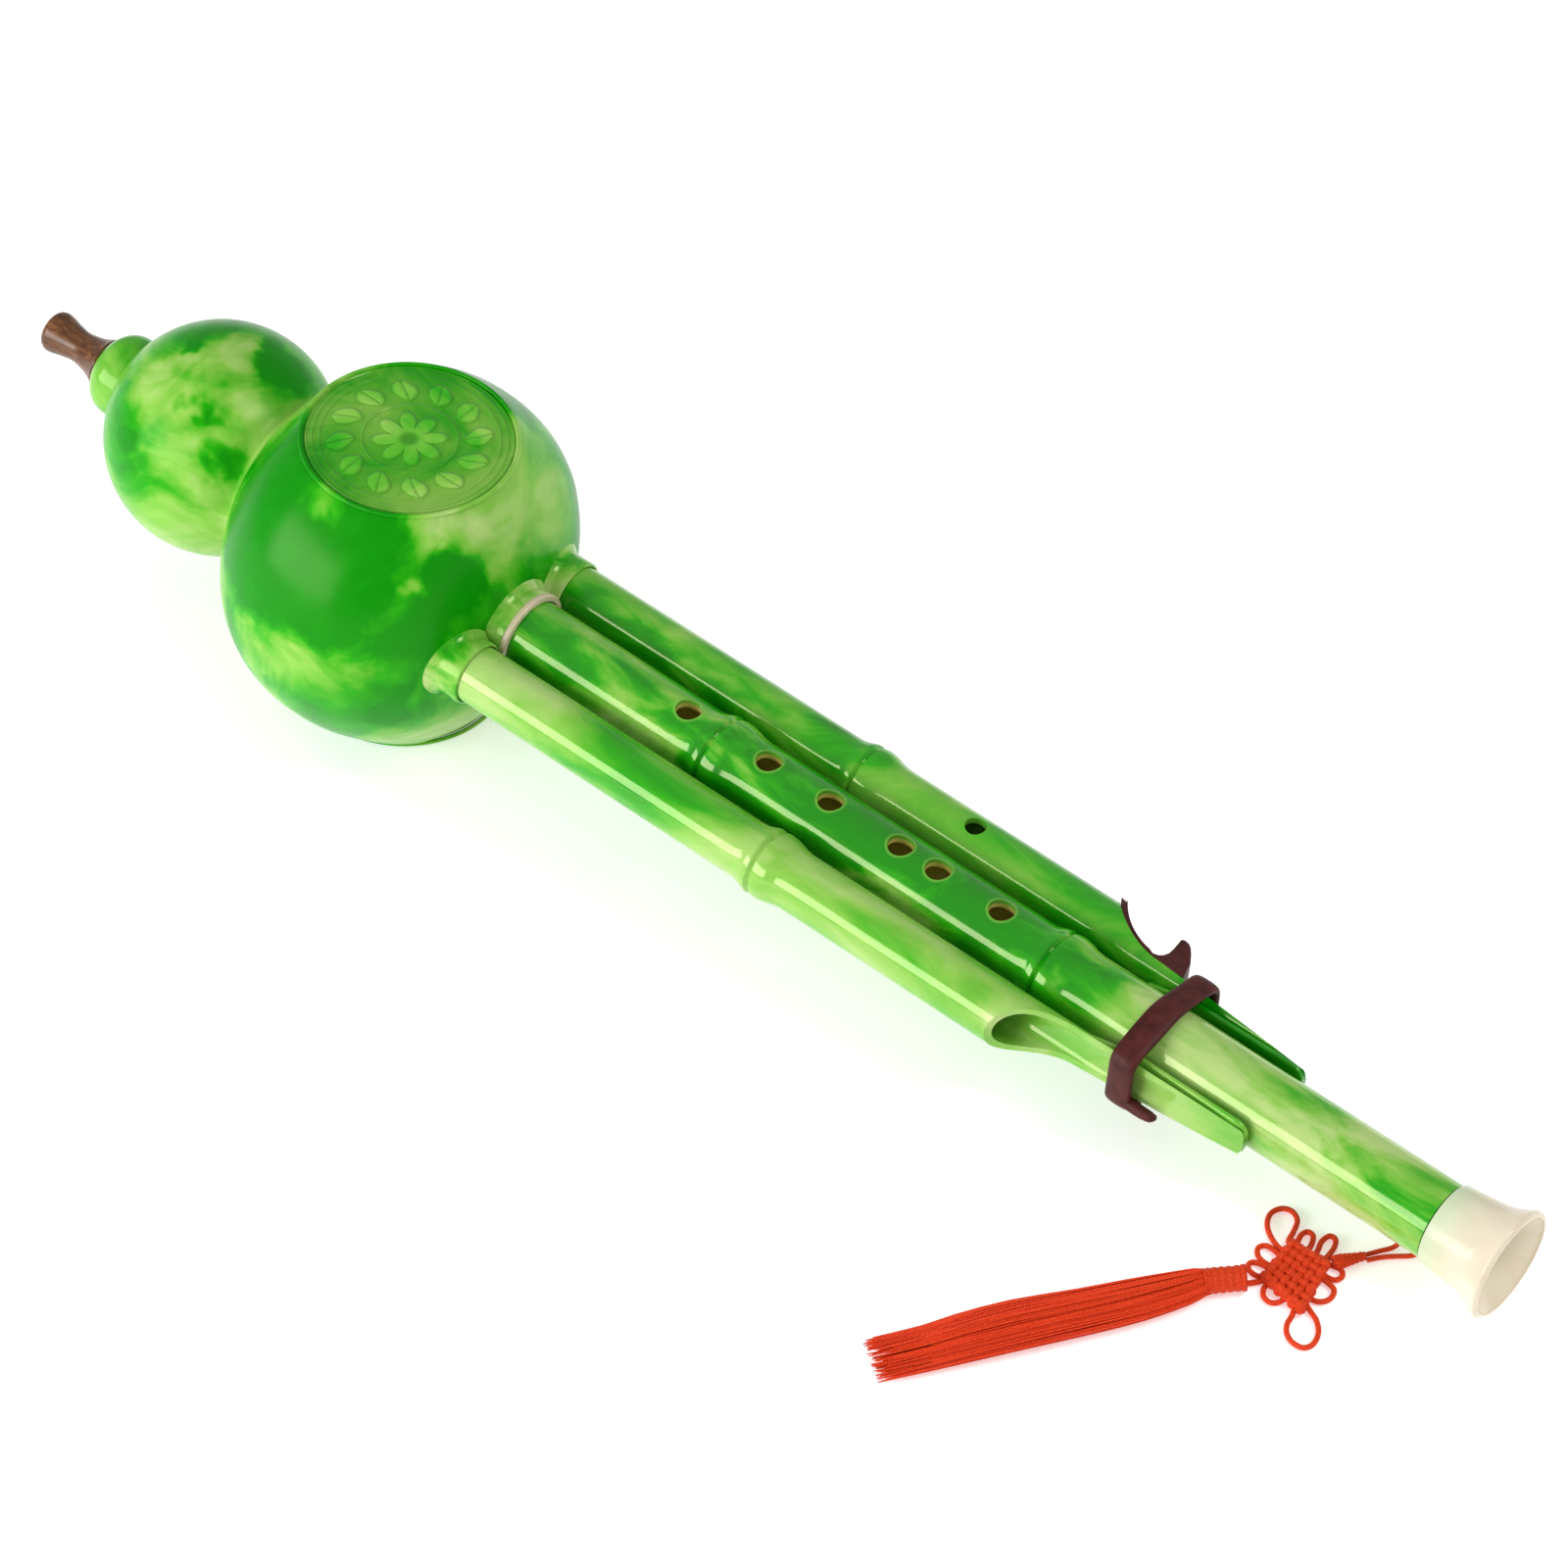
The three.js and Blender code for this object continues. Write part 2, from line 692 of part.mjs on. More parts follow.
// The flat tail on the trough's side towards the main pipe, which it reaches past the drone's wall
function droneTail() {
  const start = scoopEndX + tailPlace;
  const nearMain = pipePitch - mainRadius - tailGap;
  const outline = [
    [start, -tailStartWidth / 2],
    [start + tailTaper, -tailWidth / 2],
    [droneEndX, -tailWidth / 2],
    [droneEndX, tailWidth / 2],
    [start + tailTaper, tailWidth / 2],
    [start, tailStartWidth / 2],
  ];
  return slab(outline, nearMain - droneWall, nearMain).rotate([90, 0, 0]);
}

function dronePipe(name, side, hasHole) {
  const profile = [
    [droneInnerX, droneBore],
    [droneInnerX, droneRadius],
    ...sealGroove(droneRadius),
    ...nodeProfile(droneNodeX, droneRadius),
    [droneEndX, droneRadius],
    [droneEndX, droneBore],
  ];
  const reach = 2 * droneRadius;
  const cut = slab(
    [
      [scoopX - overrun, droneRadius + overrun],
      ...scoopArc(0),
      [droneEndX + overrun, -troughEndDepth],
      [droneEndX + overrun, reach],
      [scoopX - overrun, reach],
    ],
    -reach,
    reach,
  );
  const corner = slab(
    [
      [droneEndX - tipCorner, reach],
      [droneEndX - tipCorner, droneRadius - tipCorner / 2],
      [droneEndX - tipCorner / 3, droneRadius - tipCorner],
      [droneEndX, droneRadius - 2 * tipCorner],
      [droneEndX + overrun, droneRadius - 2 * tipCorner],
      [droneEndX + overrun, reach],
    ],
    -reach,
    reach,
  );
  const corners = [corner.rotate([90, 0, 0]), corner.rotate([-90, 0, 0])];
  let solid = ring(profile, droneSides).subtract(reedSeat(droneInnerX, droneRadius, droneReed));
  const turn = [side > 0 ? 0 : 180, 0, 0];
  solid = solid.subtract(cut.rotate(turn)).add(droneTail().rotate(turn));
  for (const piece of corners) solid = solid.subtract(piece);
  if (hasHole) solid = solid.subtract(holeAlongZ(droneHoleX, droneHoleRadius, 0, reach));
  return meshOf(name, solid.translate([0, side * pipePitch, 0]), jade);
}

// What each pipe carries at its inner end: seal, end plug, reed plate and reed tongue
function reedFittings(prefix, y, innerX, radius, bore, reed) {
  const seal = ring(
    [
      [sealX + fitGap, radius - sealDepth + fitGap],
      [sealX + fitGap, radius],
      [sealX + sealLength - fitGap, radius],
      [sealX + sealLength - fitGap, radius - sealDepth + fitGap],
    ],
    smallSides,
  );
  const plugFaceX = innerX - fitGap;
  const plug = turned(
    [
      [plugFaceX - plugLip, 0],
      [plugFaceX - plugLip, radius - sleeveEdge],
      [plugFaceX, radius - sleeveEdge],
      [plugFaceX, bore - fitGap],
      [plugFaceX + plugSpigot, bore - fitGap],
      [plugFaceX + plugSpigot, 0],
    ],
    smallSides,
  );
  const start = innerX + seatStart;
  const [plateLength, plateWidth] = reed.plate;
  const [slotLength, slotWidth] = reed.slot;
  const slotStart = start + (plateLength - slotLength) / 2;
  const low = reed.flat + fitGap;
  const high = low + plateThick;
  const plate = boxBetween([start, -plateWidth / 2, low], [start + plateLength, plateWidth / 2, high]);
  const slot = boxBetween(
    [slotStart, -slotWidth / 2, low - overrun],
    [slotStart + slotLength, slotWidth / 2, high + overrun],
  );
  const tongueLow = low + (plateThick - tongueThick) / 2;
  const tongue = boxBetween(
    [slotStart + fitGap, -slotWidth / 2 + fitGap, tongueLow],
    [slotStart + slotLength - fitGap, slotWidth / 2 - fitGap, tongueLow + tongueThick],
  );
  const pieces = [
    [`${prefix}_seal`, seal, maroon],
    [`${prefix}_end_plug`, plug, cream],
    [`${prefix}_reed_plate`, plate.subtract(slot), brass],
    [`${prefix}_reed_tongue`, tongue, brass],
  ];
  return pieces.map(([name, solid, material]) => meshOf(name, solid.translate([0, y, 0]), material));
}

function bell() {
  const jointX = bellJointX + fitGap;
  const socketEnd = bellJointX + tenonLength + fitGap;
  const socketRadius = tenonRadius + fitGap;
  const flare = bellShares.map(([along, rise]) => [
    bellWaistX + along * (bellLipX - bellWaistX),
    bellWaistRadius + rise * (bellLipRadius - bellWaistRadius),
  ]);
  const profile = [
    [jointX, socketRadius],
    [jointX, mainRadius],
    [jointX + bellStep, bellStepRadius],
    ...flare,
    [overallLength, (bellLipRadius + bellMouthRadius) / 2],
    [overallLength - bellStep, bellMouthRadius],
    [socketEnd + bellStep, mainBore],
    [socketEnd, socketRadius],
  ];
  return meshOf("bell", ring(profile, mainSides), cream);
}

// The loop that the band takes round the main pipe and the two troughs, seen along the axis, wide
// enough for the lips of a drone pulled out by dronePull
function bandOutline(offset) {
  const lipX = bandX - dronePull;
  const depthShare = (lipX - scoopEndX) / (droneEndX - scoopEndX);
  const lipDepth = troughDepth + (troughEndDepth - troughDepth) * depthShare;
  const lipY = pipePitch - lipDepth + offset;
  const lipZ = Math.sqrt(droneRadius ** 2 - lipDepth ** 2) + offset / 2;
  const radius = mainRadius + offset;
  const reach = Math.hypot(lipY, lipZ);
  const tangent = Math.atan2(lipZ, lipY) + Math.acos(radius / reach);
  const quarter = [[lipY, 0], [lipY, lipZ]];
  for (let step = 0; step <= bandArcSteps; step += 1) {
    const angle = tangent + ((Math.PI / 2 - tangent) * step) / bandArcSteps;
    quarter.push([radius * Math.cos(angle), radius * Math.sin(angle)]);
  }
  const upper = [...quarter, ...quarter.slice(0, -1).reverse().map(([y, z]) => [-y, z])];
  const lower = upper.slice(1, -1).reverse().map(([y, z]) => [y, -z]);
  return [...upper, ...lower].map(([y, z]) => new THREE.Vector2(y, z));
}

function rubberBand() {
  const shape = new THREE.Shape(bandOutline(fitGap + bandThickness - bandEdge));
  shape.holes.push(new THREE.Path(bandOutline(fitGap + bandEdge)));
  const geometry = new THREE.ExtrudeGeometry(shape, {
    depth: bandWidth - 2 * bandEdge,
    bevelThickness: bandEdge,
    bevelSize: bandEdge,
    bevelSegments: bevelSteps,
  });
  geometry.translate(0, 0, bandEdge);
  geometry.rotateX(Math.PI / 2);
  geometry.rotateZ(Math.PI / 2);
  geometry.translate(bandX, 0, 0);
  const loop = solidOf(geometry);
  const side = bandOutline(fitGap)[0].x + bandThickness / 2;
  const lowest = -Math.sqrt(droneRadius ** 2 - troughDepth ** 2) - fitGap;
  const tabEnd = bandX + bandWidth + bandTabLength;
  const tab = boxBetween(
    [bandX + bandWidth / 2, -side - bandTabThickness / 2, lowest],
    [tabEnd, -side + bandTabThickness / 2, lowest + bandTabWidth],
  );
  const eyelet = cylinderZ(bandTabHole, -bandTabThickness, bandTabThickness, holeSides).rotate([90, 0, 0]);
  const holeX = tabEnd - bandTabWidth / 2;
  const tabWithHole = tab.subtract(eyelet.translate([holeX, -side, lowest + bandTabWidth / 2]));
  return meshOf("rubber_band", loop.add(tabWithHole), maroon);
}

// The stopper lies on the far drone's scoop: a curved strap, a finger tab and a core in the bore
function droneStopper() {
  const seat = -troughDepth + fitGap;
  const strap = scoopArc(fitGap + strapThickness).filter(([x]) => x < tabTopX - strapThickness);
  const tab = tabShares.map(([along, rise]) => [
    tabTopX + along * (tabBaseX - tabTopX),
    seat + rise * (tabTopRise - seat),
  ]);
  const outline = [...scoopArc(fitGap), ...tab, ...strap.reverse()];
  const strapRadius = droneRadius + strapThickness;
  const round = cylinderX(strapRadius, scoopX - strapThickness, tabBaseX + overrun, droneSides);
  const strapSolid = slab(outline, -stopperHalfWidth, stopperHalfWidth).intersect(round);
  const tabSolid = slab(outline, -tabHalfWidth, tabHalfWidth);
  const core = slab(
    [
      [coreX, -coreDepth],
      [scoopEndX, -coreDepth],
      [scoopEndX, seat + strapThickness / 2],
      [coreX, scoopRise(coreX) + strapThickness],
    ],
    -coreHalfWidth,
    coreHalfWidth,
  );
  const solid = strapSolid.add(tabSolid).add(core);
  return meshOf("drone_stopper", solid.translate([0, pipePitch, 0]), maroon);
}

// A round cord along a smooth curve through the given places
function tube(places, radius, steps) {
  const path = new THREE.CatmullRomCurve3(places.map((place) => new THREE.Vector3(...place)));
  const outline = new THREE.Shape();
  outline.absarc(0, 0, radius, 0, 2 * Math.PI);
  const geometry = new THREE.ExtrudeGeometry(outline, {
    steps,
    curveSegments: cordSides / 2,
    bevelEnabled: false,
    extrudePath: path,
  });
  return solidOf(geometry);
}

// A bundle of threads lying on z = 0: an oval rod whose size changes along its run, fluted if asked
function bundle({ places, halfWidth, halfHeight }, sides, fluteShare) {
  const last = places.length - 1;
  const geometry = new THREE.CylinderGeometry(1, 1, 1, sides, last);
  const position = geometry.attributes.position;
  for (let index = 0; index < position.count; index += 1) {
    const step = Math.round((0.5 - position.getY(index)) * last);
    const [x, y] = places[step];
    const [backX, backY] = places[Math.max(0, step - 1)];
    const [onX, onY] = places[Math.min(last, step + 1)];
    const run = Math.hypot(onX - backX, onY - backY);
    const angle = Math.atan2(position.getZ(index), position.getX(index));
    const ridge = Math.round((angle / (2 * Math.PI)) * sides);
    const flute = ridge % 2 === 0 ? 1 : 1 - fluteShare;
    const across = position.getX(index) * halfWidth[step] * flute;
    const rise = position.getZ(index) * halfHeight[step] * flute;
    position.setXYZ(
      index,
      x + (across * (backY - onY)) / run,
      y + (across * (onX - backX)) / run,
      halfHeight[step] + floorGap + rise,
    );
  }
  return solidOf(geometry);
}

function knot() {
  const shape = new THREE.Shape(knotCorners.map(([x, y]) => new THREE.Vector2(x, y)).reverse());
  const geometry = new THREE.ExtrudeGeometry(shape, {
    depth: knotThickness - 2 * knotEdge,
    bevelThickness: knotEdge,
    bevelSize: knotEdge,
    bevelOffset: -knotEdge,
    bevelSegments: bevelSteps,
  });
  geometry.translate(0, 0, knotEdge + floorGap);
  let solid = solidOf(geometry);
  for (const loop of knotLoops) {
    const places = loop.map(([x, y]) => [x, y, knotCordRadius + floorGap]);
    solid = solid.add(tube(places, knotCordRadius, loopSteps));
  }
  return solid;
}

function cordPieces() {
  return [
    ["hanging_cord", tube(cordPath, cordRadius, cordSteps)],
    ["cord_braid", bundle(braidRun, bundleSides, 0)],
    ["knot", knot()],
    ["knot_tail", bundle(tailRun, bundleSides, 0)],
    ["tassel_head", bundle(headRun, bundleSides, 0)],
    ["tassel_skirt", bundle(skirtRun, skirtSides, skirtFluteShare)],
  ].map(([name, solid]) => meshOf(name, solid, redCord));
}

const instrument = new THREE.Group();
instrument.add(
  ...gourdHalves(),
  medallion("medallion_front", 1),
  medallion("medallion_back", -1),
  neckCollar(),
  mouthpiece(),
  pipeSocket(),
  mainPipe(),
  ...reedFittings("main", 0, mainInnerX, mainRadius, mainBore, mainReed),
  dronePipe("near_drone_pipe", -1, false),
  ...reedFittings("near_drone", -pipePitch, droneInnerX, droneRadius, droneBore, droneReed),
  dronePipe("far_drone_pipe", 1, true),
  ...reedFittings("far_drone", pipePitch, droneInnerX, droneRadius, droneBore, droneReed),
  bell(),
  rubberBand(),
  droneStopper(),
);

// Laid down: the back medallion's edge nearest the bell and the bell's lip share one level
const backHeight = rimHeight + medallionProud;
const backEdgeX = medallionX + (medallionRadius - medallionEdge) * Math.cos(medallionTurn);
const restTilt = Math.atan((backHeight - bellLipRadius) / (bellLipX - backEdgeX));
instrument.rotation.y = restTilt;
instrument.updateMatrixWorld(true);
const footprint = new THREE.Box3().setFromObject(instrument, true);
const middle = footprint.getCenter(new THREE.Vector3());
instrument.position.set(-middle.x, -middle.y, -footprint.min.z);

const group = new THREE.Group();
group.add(instrument, ...cordPieces());

export default group;
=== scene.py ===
"""A cucurbit flute of marbled green plastic with a red knotted tassel, lying on a pale floor.

Shapes are drawn in millimetres along the flute's own axis, mouthpiece tip at x = 0 and bell at +x,
and are then laid down into the frame. Soft pieces are drawn where they lie on the floor.
"""
import random
from math import acos, atan2, ceil, copysign, cos, exp, hypot, inf, pi, radians, sin, sqrt

import bmesh
import bpy
import numpy as np
from mathutils import Matrix, Vector
from mathutils.bvhtree import BVHTree


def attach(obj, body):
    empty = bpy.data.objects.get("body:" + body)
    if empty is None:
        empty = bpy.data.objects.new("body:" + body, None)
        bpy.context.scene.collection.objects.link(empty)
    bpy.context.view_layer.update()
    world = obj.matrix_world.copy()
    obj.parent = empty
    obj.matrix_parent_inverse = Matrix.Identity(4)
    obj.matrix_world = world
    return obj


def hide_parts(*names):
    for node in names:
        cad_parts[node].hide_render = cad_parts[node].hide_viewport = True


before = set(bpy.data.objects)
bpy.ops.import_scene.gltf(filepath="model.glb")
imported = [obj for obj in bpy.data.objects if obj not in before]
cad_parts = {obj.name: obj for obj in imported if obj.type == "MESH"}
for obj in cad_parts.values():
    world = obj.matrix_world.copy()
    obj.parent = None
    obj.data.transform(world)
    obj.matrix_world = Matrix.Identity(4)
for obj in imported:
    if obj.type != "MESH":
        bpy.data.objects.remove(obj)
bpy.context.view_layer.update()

MM = 0.001
REST_TILT = radians(4.84626)
AXIS_START = Vector((-0.219613, 0, 0.050822))
LAID = Matrix.Translation(AXIS_START) @ Matrix.Rotation(REST_TILT, 4, "Y") @ Matrix.Scale(MM, 4)
ON_FLOOR = Matrix.Scale(MM, 4)

# Sizes shared with the CAD, in millimetres
FIT_GAP = 0.3
PIPE_PITCH = 18.1
MAIN_RADIUS = 9.4
MAIN_BORE = 7
DRONE_RADIUS = 7.25
DRONE_BORE = 5.6
SMALL_LOBE = {"x": 56.6, "radius": 29, "half": 28.1}
LARGE_LOBE = {"x": 114.6, "radius": 46.1, "half": 38.9, "power": 2.16}
GOURD_END = 146.5
PLATE_RADIUS = 27.2
PLATE_CROWN = 4.6
MAIN_SLEEVE = 11.1
DRONE_SLEEVE = 8.15
SLEEVE_END = 154.6
DISC_X = 116
DISC_RADIUS = 24.9
RIM_RADIUS = 26.2
RIM_HEIGHT = 38.7
DISC_TOP = 39.1
NODE_RISE = 1.1
NODE_LENGTH = 5.4
MAIN_NODES = (214, 312.6)
DRONE_NODE = 243.3
FINGER_HOLES = (203.8, 228, 246.4, 267.1, 278.1, 296.6)
HOLE_RADIUS = 3.2
THUMB_HOLE = 189
DRONE_HOLE = 275.1
DRONE_HOLE_RADIUS = 2.6
CORD_HOLES = (412.5, 417.5)
CORD_HOLE_RADIUS = 0.95
SCOOP_START = 312
SCOOP_END = 331
TROUGH_DEPTH = 3.8
TROUGH_END_DEPTH = 6.2
DRONE_END = 375
TAIL_FACE = 8.2
TAIL_HALF_WIDTH = 5.2
BELL_JOINT = 421.4
TENON_RADIUS = 8
TENON_LENGTH = 11
BELL_WAIST = (430.5, 10.9)
BELL_LIP = (438.8, 13.8)
BAND_START = 340
BAND_WIDTH = 7.2
BAND_THICKNESS = 2.2
DRONE_PULL = 8
MAIN_START = 98
DRONE_START = 112
REED_PLACE = 7
MAIN_REED = {"flat": MAIN_RADIUS - 1.7, "plate": 23, "window": (16.2, 3)}
DRONE_REED = {"flat": DRONE_RADIUS - 1.35, "plate": 19, "window": (13, 2.2)}

# Heights between which holes are drilled, from either side
FRONT = (2, 14)
BACK = (-14, -2)

scene = bpy.context.scene


def link(name, data):
    item = bpy.data.objects.new(name, data)
    scene.collection.objects.link(item)
    return item


# The camera, from the photograph's fitted viewing angle
CAMERA_PLACE = Vector((0.689336, -0.833494, 1.07125))
CAMERA_LOOK = Vector((-0.453633, 0.558859, -0.694189))
CAMERA_LENS = 147.54

camera = link("camera", bpy.data.cameras.new("camera"))
camera.data.lens = CAMERA_LENS
camera.data.sensor_width = 36
camera.data.clip_end = 20
camera.location = CAMERA_PLACE
camera.rotation_euler = CAMERA_LOOK.to_track_quat("-Z", "Y").to_euler()
scene.camera = camera


# Mesh tools

def turns(count):
    """Angles that go once round in even steps."""
    return [2 * pi * i / count for i in range(count)]


def strips(rows, around, closed=False):
    """Faces between neighbouring rows of points; closed joins the last row to the first."""
    faces = []
    for row in range(rows if closed else rows - 1):
        a, b = row * around, (row + 1) % rows * around
        for k in range(around):
            other = (k + 1) % around
            faces.append((a + k, b + k, b + other, a + other))
    return faces


def skin(rows, around):
    """All faces of a solid: the strips and its two flat ends."""
    end = rows * around
    return strips(rows, around) + [tuple(range(around)), tuple(range(end - around, end))]


def joined(shapes):
    """Several shapes as one, for a piece of many strands."""
    verts, faces = [], []
    for its_verts, its_faces in shapes:
        faces += [tuple(len(verts) + index for index in face) for face in its_faces]
        verts += its_verts
    return verts, faces


def turn_outward(mesh):
    work = bmesh.new()
    work.from_mesh(mesh)
    bmesh.ops.recalc_face_normals(work, faces=work.faces)
    work.to_mesh(mesh)
    work.free()


def finish_mesh(name, mesh, sharp):
    """A smooth-shaded object; edges sharper than the angle stay crisp."""
    turn_outward(mesh)
    mesh.shade_smooth()
    mesh.set_sharp_from_angle(angle=radians(sharp))
    return link(name, mesh)


def dress(piece, look, slot, body, *nodes):
    """Gives a piece its material and its body, and hides the CAD nodes it stands for; the slot is not used.
    """
    piece.data.materials.clear()
    piece.data.materials.append(look)
    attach(piece, body)
    if nodes:
        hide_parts(*nodes)
    return piece


def make_piece(name, shape, look, slot, body, *nodes, lay=LAID, sharp=35):
    """A dressed piece from its vertices and faces, laid into the frame."""
    verts, faces = shape
    mesh = bpy.data.meshes.new(name)
    mesh.from_pydata([lay @ Vector(vert) for vert in verts], [], faces)
    mesh.validate()
    return dress(finish_mesh(name, mesh, sharp), look, slot, body, *nodes)


def fine_profile(points, step):
    """The outline with extra points; no stretch is longer than the step."""
    out = [points[0]]
    for (x0, r0), (x1, r1) in zip(points, points[1:]):
        parts = max(1, ceil(hypot(x1 - x0, r1 - r0) / step))
        shares = [i / parts for i in range(1, parts + 1)]
        out += [(x0 + (x1 - x0) * share, r0 + (r1 - r0) * share) for share in shares]
    return out


def smooth(points, per_stretch):
    """A Catmull-Rom curve through the points, in the plane or in space."""
    p = [Vector(point) for point in (points[0], *points, points[-1])]
    curve = [p[1].copy()]
    for before, start, end, after in zip(p, p[1:], p[2:], p[3:]):
        for k in range(1, per_stretch + 1):
            t = k / per_stretch
            first = 2 * start + (end - before) * t
            second = (2 * before - 5 * start + 4 * end - after) * t ** 2
            third = (3 * start - before - 3 * end + after) * t ** 3
            curve.append(0.5 * (first + second + third))
    return curve


def ring(x, radius, sides, y=0):
    return [(x, y + radius * sin(angle), radius * cos(angle)) for angle in turns(sides)]


def turned(profile, sides, y=0):
    """A closed outline turned about a line along x."""
    verts = [point for x, radius in profile for point in ring(x, radius, sides, y)]
    return verts, strips(len(profile), sides, closed=True)


def solid_of(verts, faces):
    """A loose mesh object for a boolean cut."""
    mesh = bpy.data.meshes.new("cutter")
    mesh.from_pydata(verts, [], faces)
    turn_outward(mesh)
    return link("cutter", mesh)


def cut_object(name, shape, cutters):
    """The shape less all the cutters, laid into the frame."""
    base = solid_of(*shape)
    tools = [solid_of(*cutter) for cutter in cutters]
    for tool in tools:
        modifier = base.modifiers.new("cut", "BOOLEAN")
        modifier.operation = "DIFFERENCE"
        modifier.solver = "EXACT"
        modifier.object = tool
    graph = bpy.context.evaluated_depsgraph_get()
    mesh = bpy.data.meshes.new_from_object(base.evaluated_get(graph))
    for piece in [base, *tools]:
        bpy.data.meshes.remove(piece.data)
    mesh.name = name
    mesh.transform(LAID)
    return finish_mesh(name, mesh, 30)


def prism(outline, low, high, swap=lambda *place: place):
    """A flat outline given thickness; swap turns each (a, b, height) into a place."""
    verts = [swap(a, b, height) for height in (low, high) for a, b in outline]
    return verts, skin(2, len(outline))


def drill(x, y, radius, low, high, sides=40):
    """A round cutter along z."""
    circle = [(x + radius * cos(angle), y + radius * sin(angle)) for angle in turns(sides)]
    return prism(circle, low, high)


def block(low, high):
    """A box-shaped cutter between two corners."""
    (x0, y0, z0), (x1, y1, z1) = low, high
    return prism([(x0, y0), (x1, y0), (x1, y1), (x0, y1)], z0, z1)


# Material tools

class Shade:
    """One procedural material. Its nodes' inputs take a number, a tuple or another node's output."""

    def __init__(self, name):
        self.material = bpy.data.materials.new(name)
        self.material.use_nodes = True
        self.tree = self.material.node_tree
        self.shader = self.tree.nodes["Principled BSDF"]

    def feed(self, socket, value):
        """Wires or sets one input; a colour of three numbers is opaque."""
        if isinstance(value, bpy.types.NodeSocket):
            self.tree.links.new(value, socket)
        elif isinstance(value, tuple) and socket.type == "RGBA":
            socket.default_value = (*value, 1)
        else:
            socket.default_value = value

    def add(self, kind, inputs, **settings):
        node = self.tree.nodes.new("ShaderNode" + kind)
        for key, value in settings.items():
            setattr(node, key, value)
        for key, value in inputs.items():
            self.feed(node.inputs[key], value)
        return node

    def set(self, **values):
        """Wires or sets the shader's own inputs; an underscore stands for a space."""
        for key, value in values.items():
            self.feed(self.shader.inputs[key.replace("_", " ")], value)

    def math(self, operation, *values):
        return self.add("Math", dict(enumerate(values)), operation=operation).outputs[0]

    def vector(self, operation, *values):
        node = self.add("VectorMath", dict(enumerate(values)), operation=operation)
        return node.outputs["Value" if operation in ("LENGTH", "DISTANCE") else "Vector"]

    def part(self, vector, name):
        return self.add("SeparateXYZ", {0: vector}).outputs[name]

    def span(self, value, low, high, ends=(0, 1), kind="LINEAR"):
        """Where the value lies between low and high, as a number between the two ends."""
        inputs = {"Value": value, "From Min": low, "From Max": high, "To Min": ends[0], "To Max": ends[1]}
        return self.add("MapRange", inputs, interpolation_type=kind).outputs[0]

    def place(self, scale=(1, 1, 1), shift=(0, 0, 0), laid=True):
        """Coordinates in the flute's own millimetres, or the frame's, scaled."""
        source = self.add("TexCoord", {}).outputs["Object"]
        inputs = {"Vector": source, "Scale": (MM, MM, MM)}
        if laid:
            inputs |= {"Location": tuple(AXIS_START), "Rotation": (0, REST_TILT, 0)}
        own = self.add("Mapping", inputs, vector_type="TEXTURE").outputs[0]
        return self.add("Mapping", {"Vector": own, "Location": shift, "Scale": scale}).outputs[0]

    def noise(self, vector, scale, detail=3, roughness=0.5, distortion=0.0, output="Fac"):
        inputs = {"Vector": vector, "Scale": scale, "Detail": detail, "Roughness": roughness,
                  "Distortion": distortion}
        return self.add("TexNoise", inputs).outputs[output]

    def ramp(self, factor, stops):
        node = self.add("ValToRGB", {"Fac": factor})
        ramp = node.color_ramp
        while len(ramp.elements) < len(stops):
            ramp.elements.new(0.5)
        for element, (position, color) in zip(ramp.elements, stops):
            element.position = position
            element.color = (*color, 1)
        return node.outputs["Color"]

    def mix(self, factor, first, second, blend="MIX"):
        inputs = {0: factor, 6: first, 7: second}
        return self.add("Mix", inputs, data_type="RGBA", blend_type=blend).outputs[2]

    def bump(self, height, strength, distance):
        inputs = {"Height": height, "Strength": strength, "Distance": distance}
        return self.add("Bump", inputs).outputs[0]

    def finish(self, color, rough, gloss, **values):
        """Sets the colour, a roughness between the gloss's two ends, and the rest."""
        self.set(Base_Color=color, Roughness=self.span(rough, 0, 1, gloss), **values)
        return self.material


DEEP_GREEN = (0.001, 0.23, 0.001)
GREEN = (0.014, 0.33, 0.002)
LEAF_GREEN = (0.07, 0.39, 0.014)
YELLOW_GREEN = (0.21, 0.48, 0.06)
PALE_GREEN = (0.4, 0.57, 0.18)
BORE_LIGHT_OLIVE = (0.62, 0.56, 0.12)
JADE = [(0.4, DEEP_GREEN), (0.465, GREEN), (0.5, LEAF_GREEN), (0.575, YELLOW_GREEN), (0.68, PALE_GREEN)]
STREAKS = [(0.4, (0.84, 0.88, 0.84)), (0.6, (1.1, 1.05, 1.1))]
RELIEF_SHADE_AND_HIGHLIGHT = [(0.0, (0.8, 0.86, 0.7)), (0.35, (0.45, 0.62, 0.4)), (1.0, (1.5, 1.25, 1.6))]


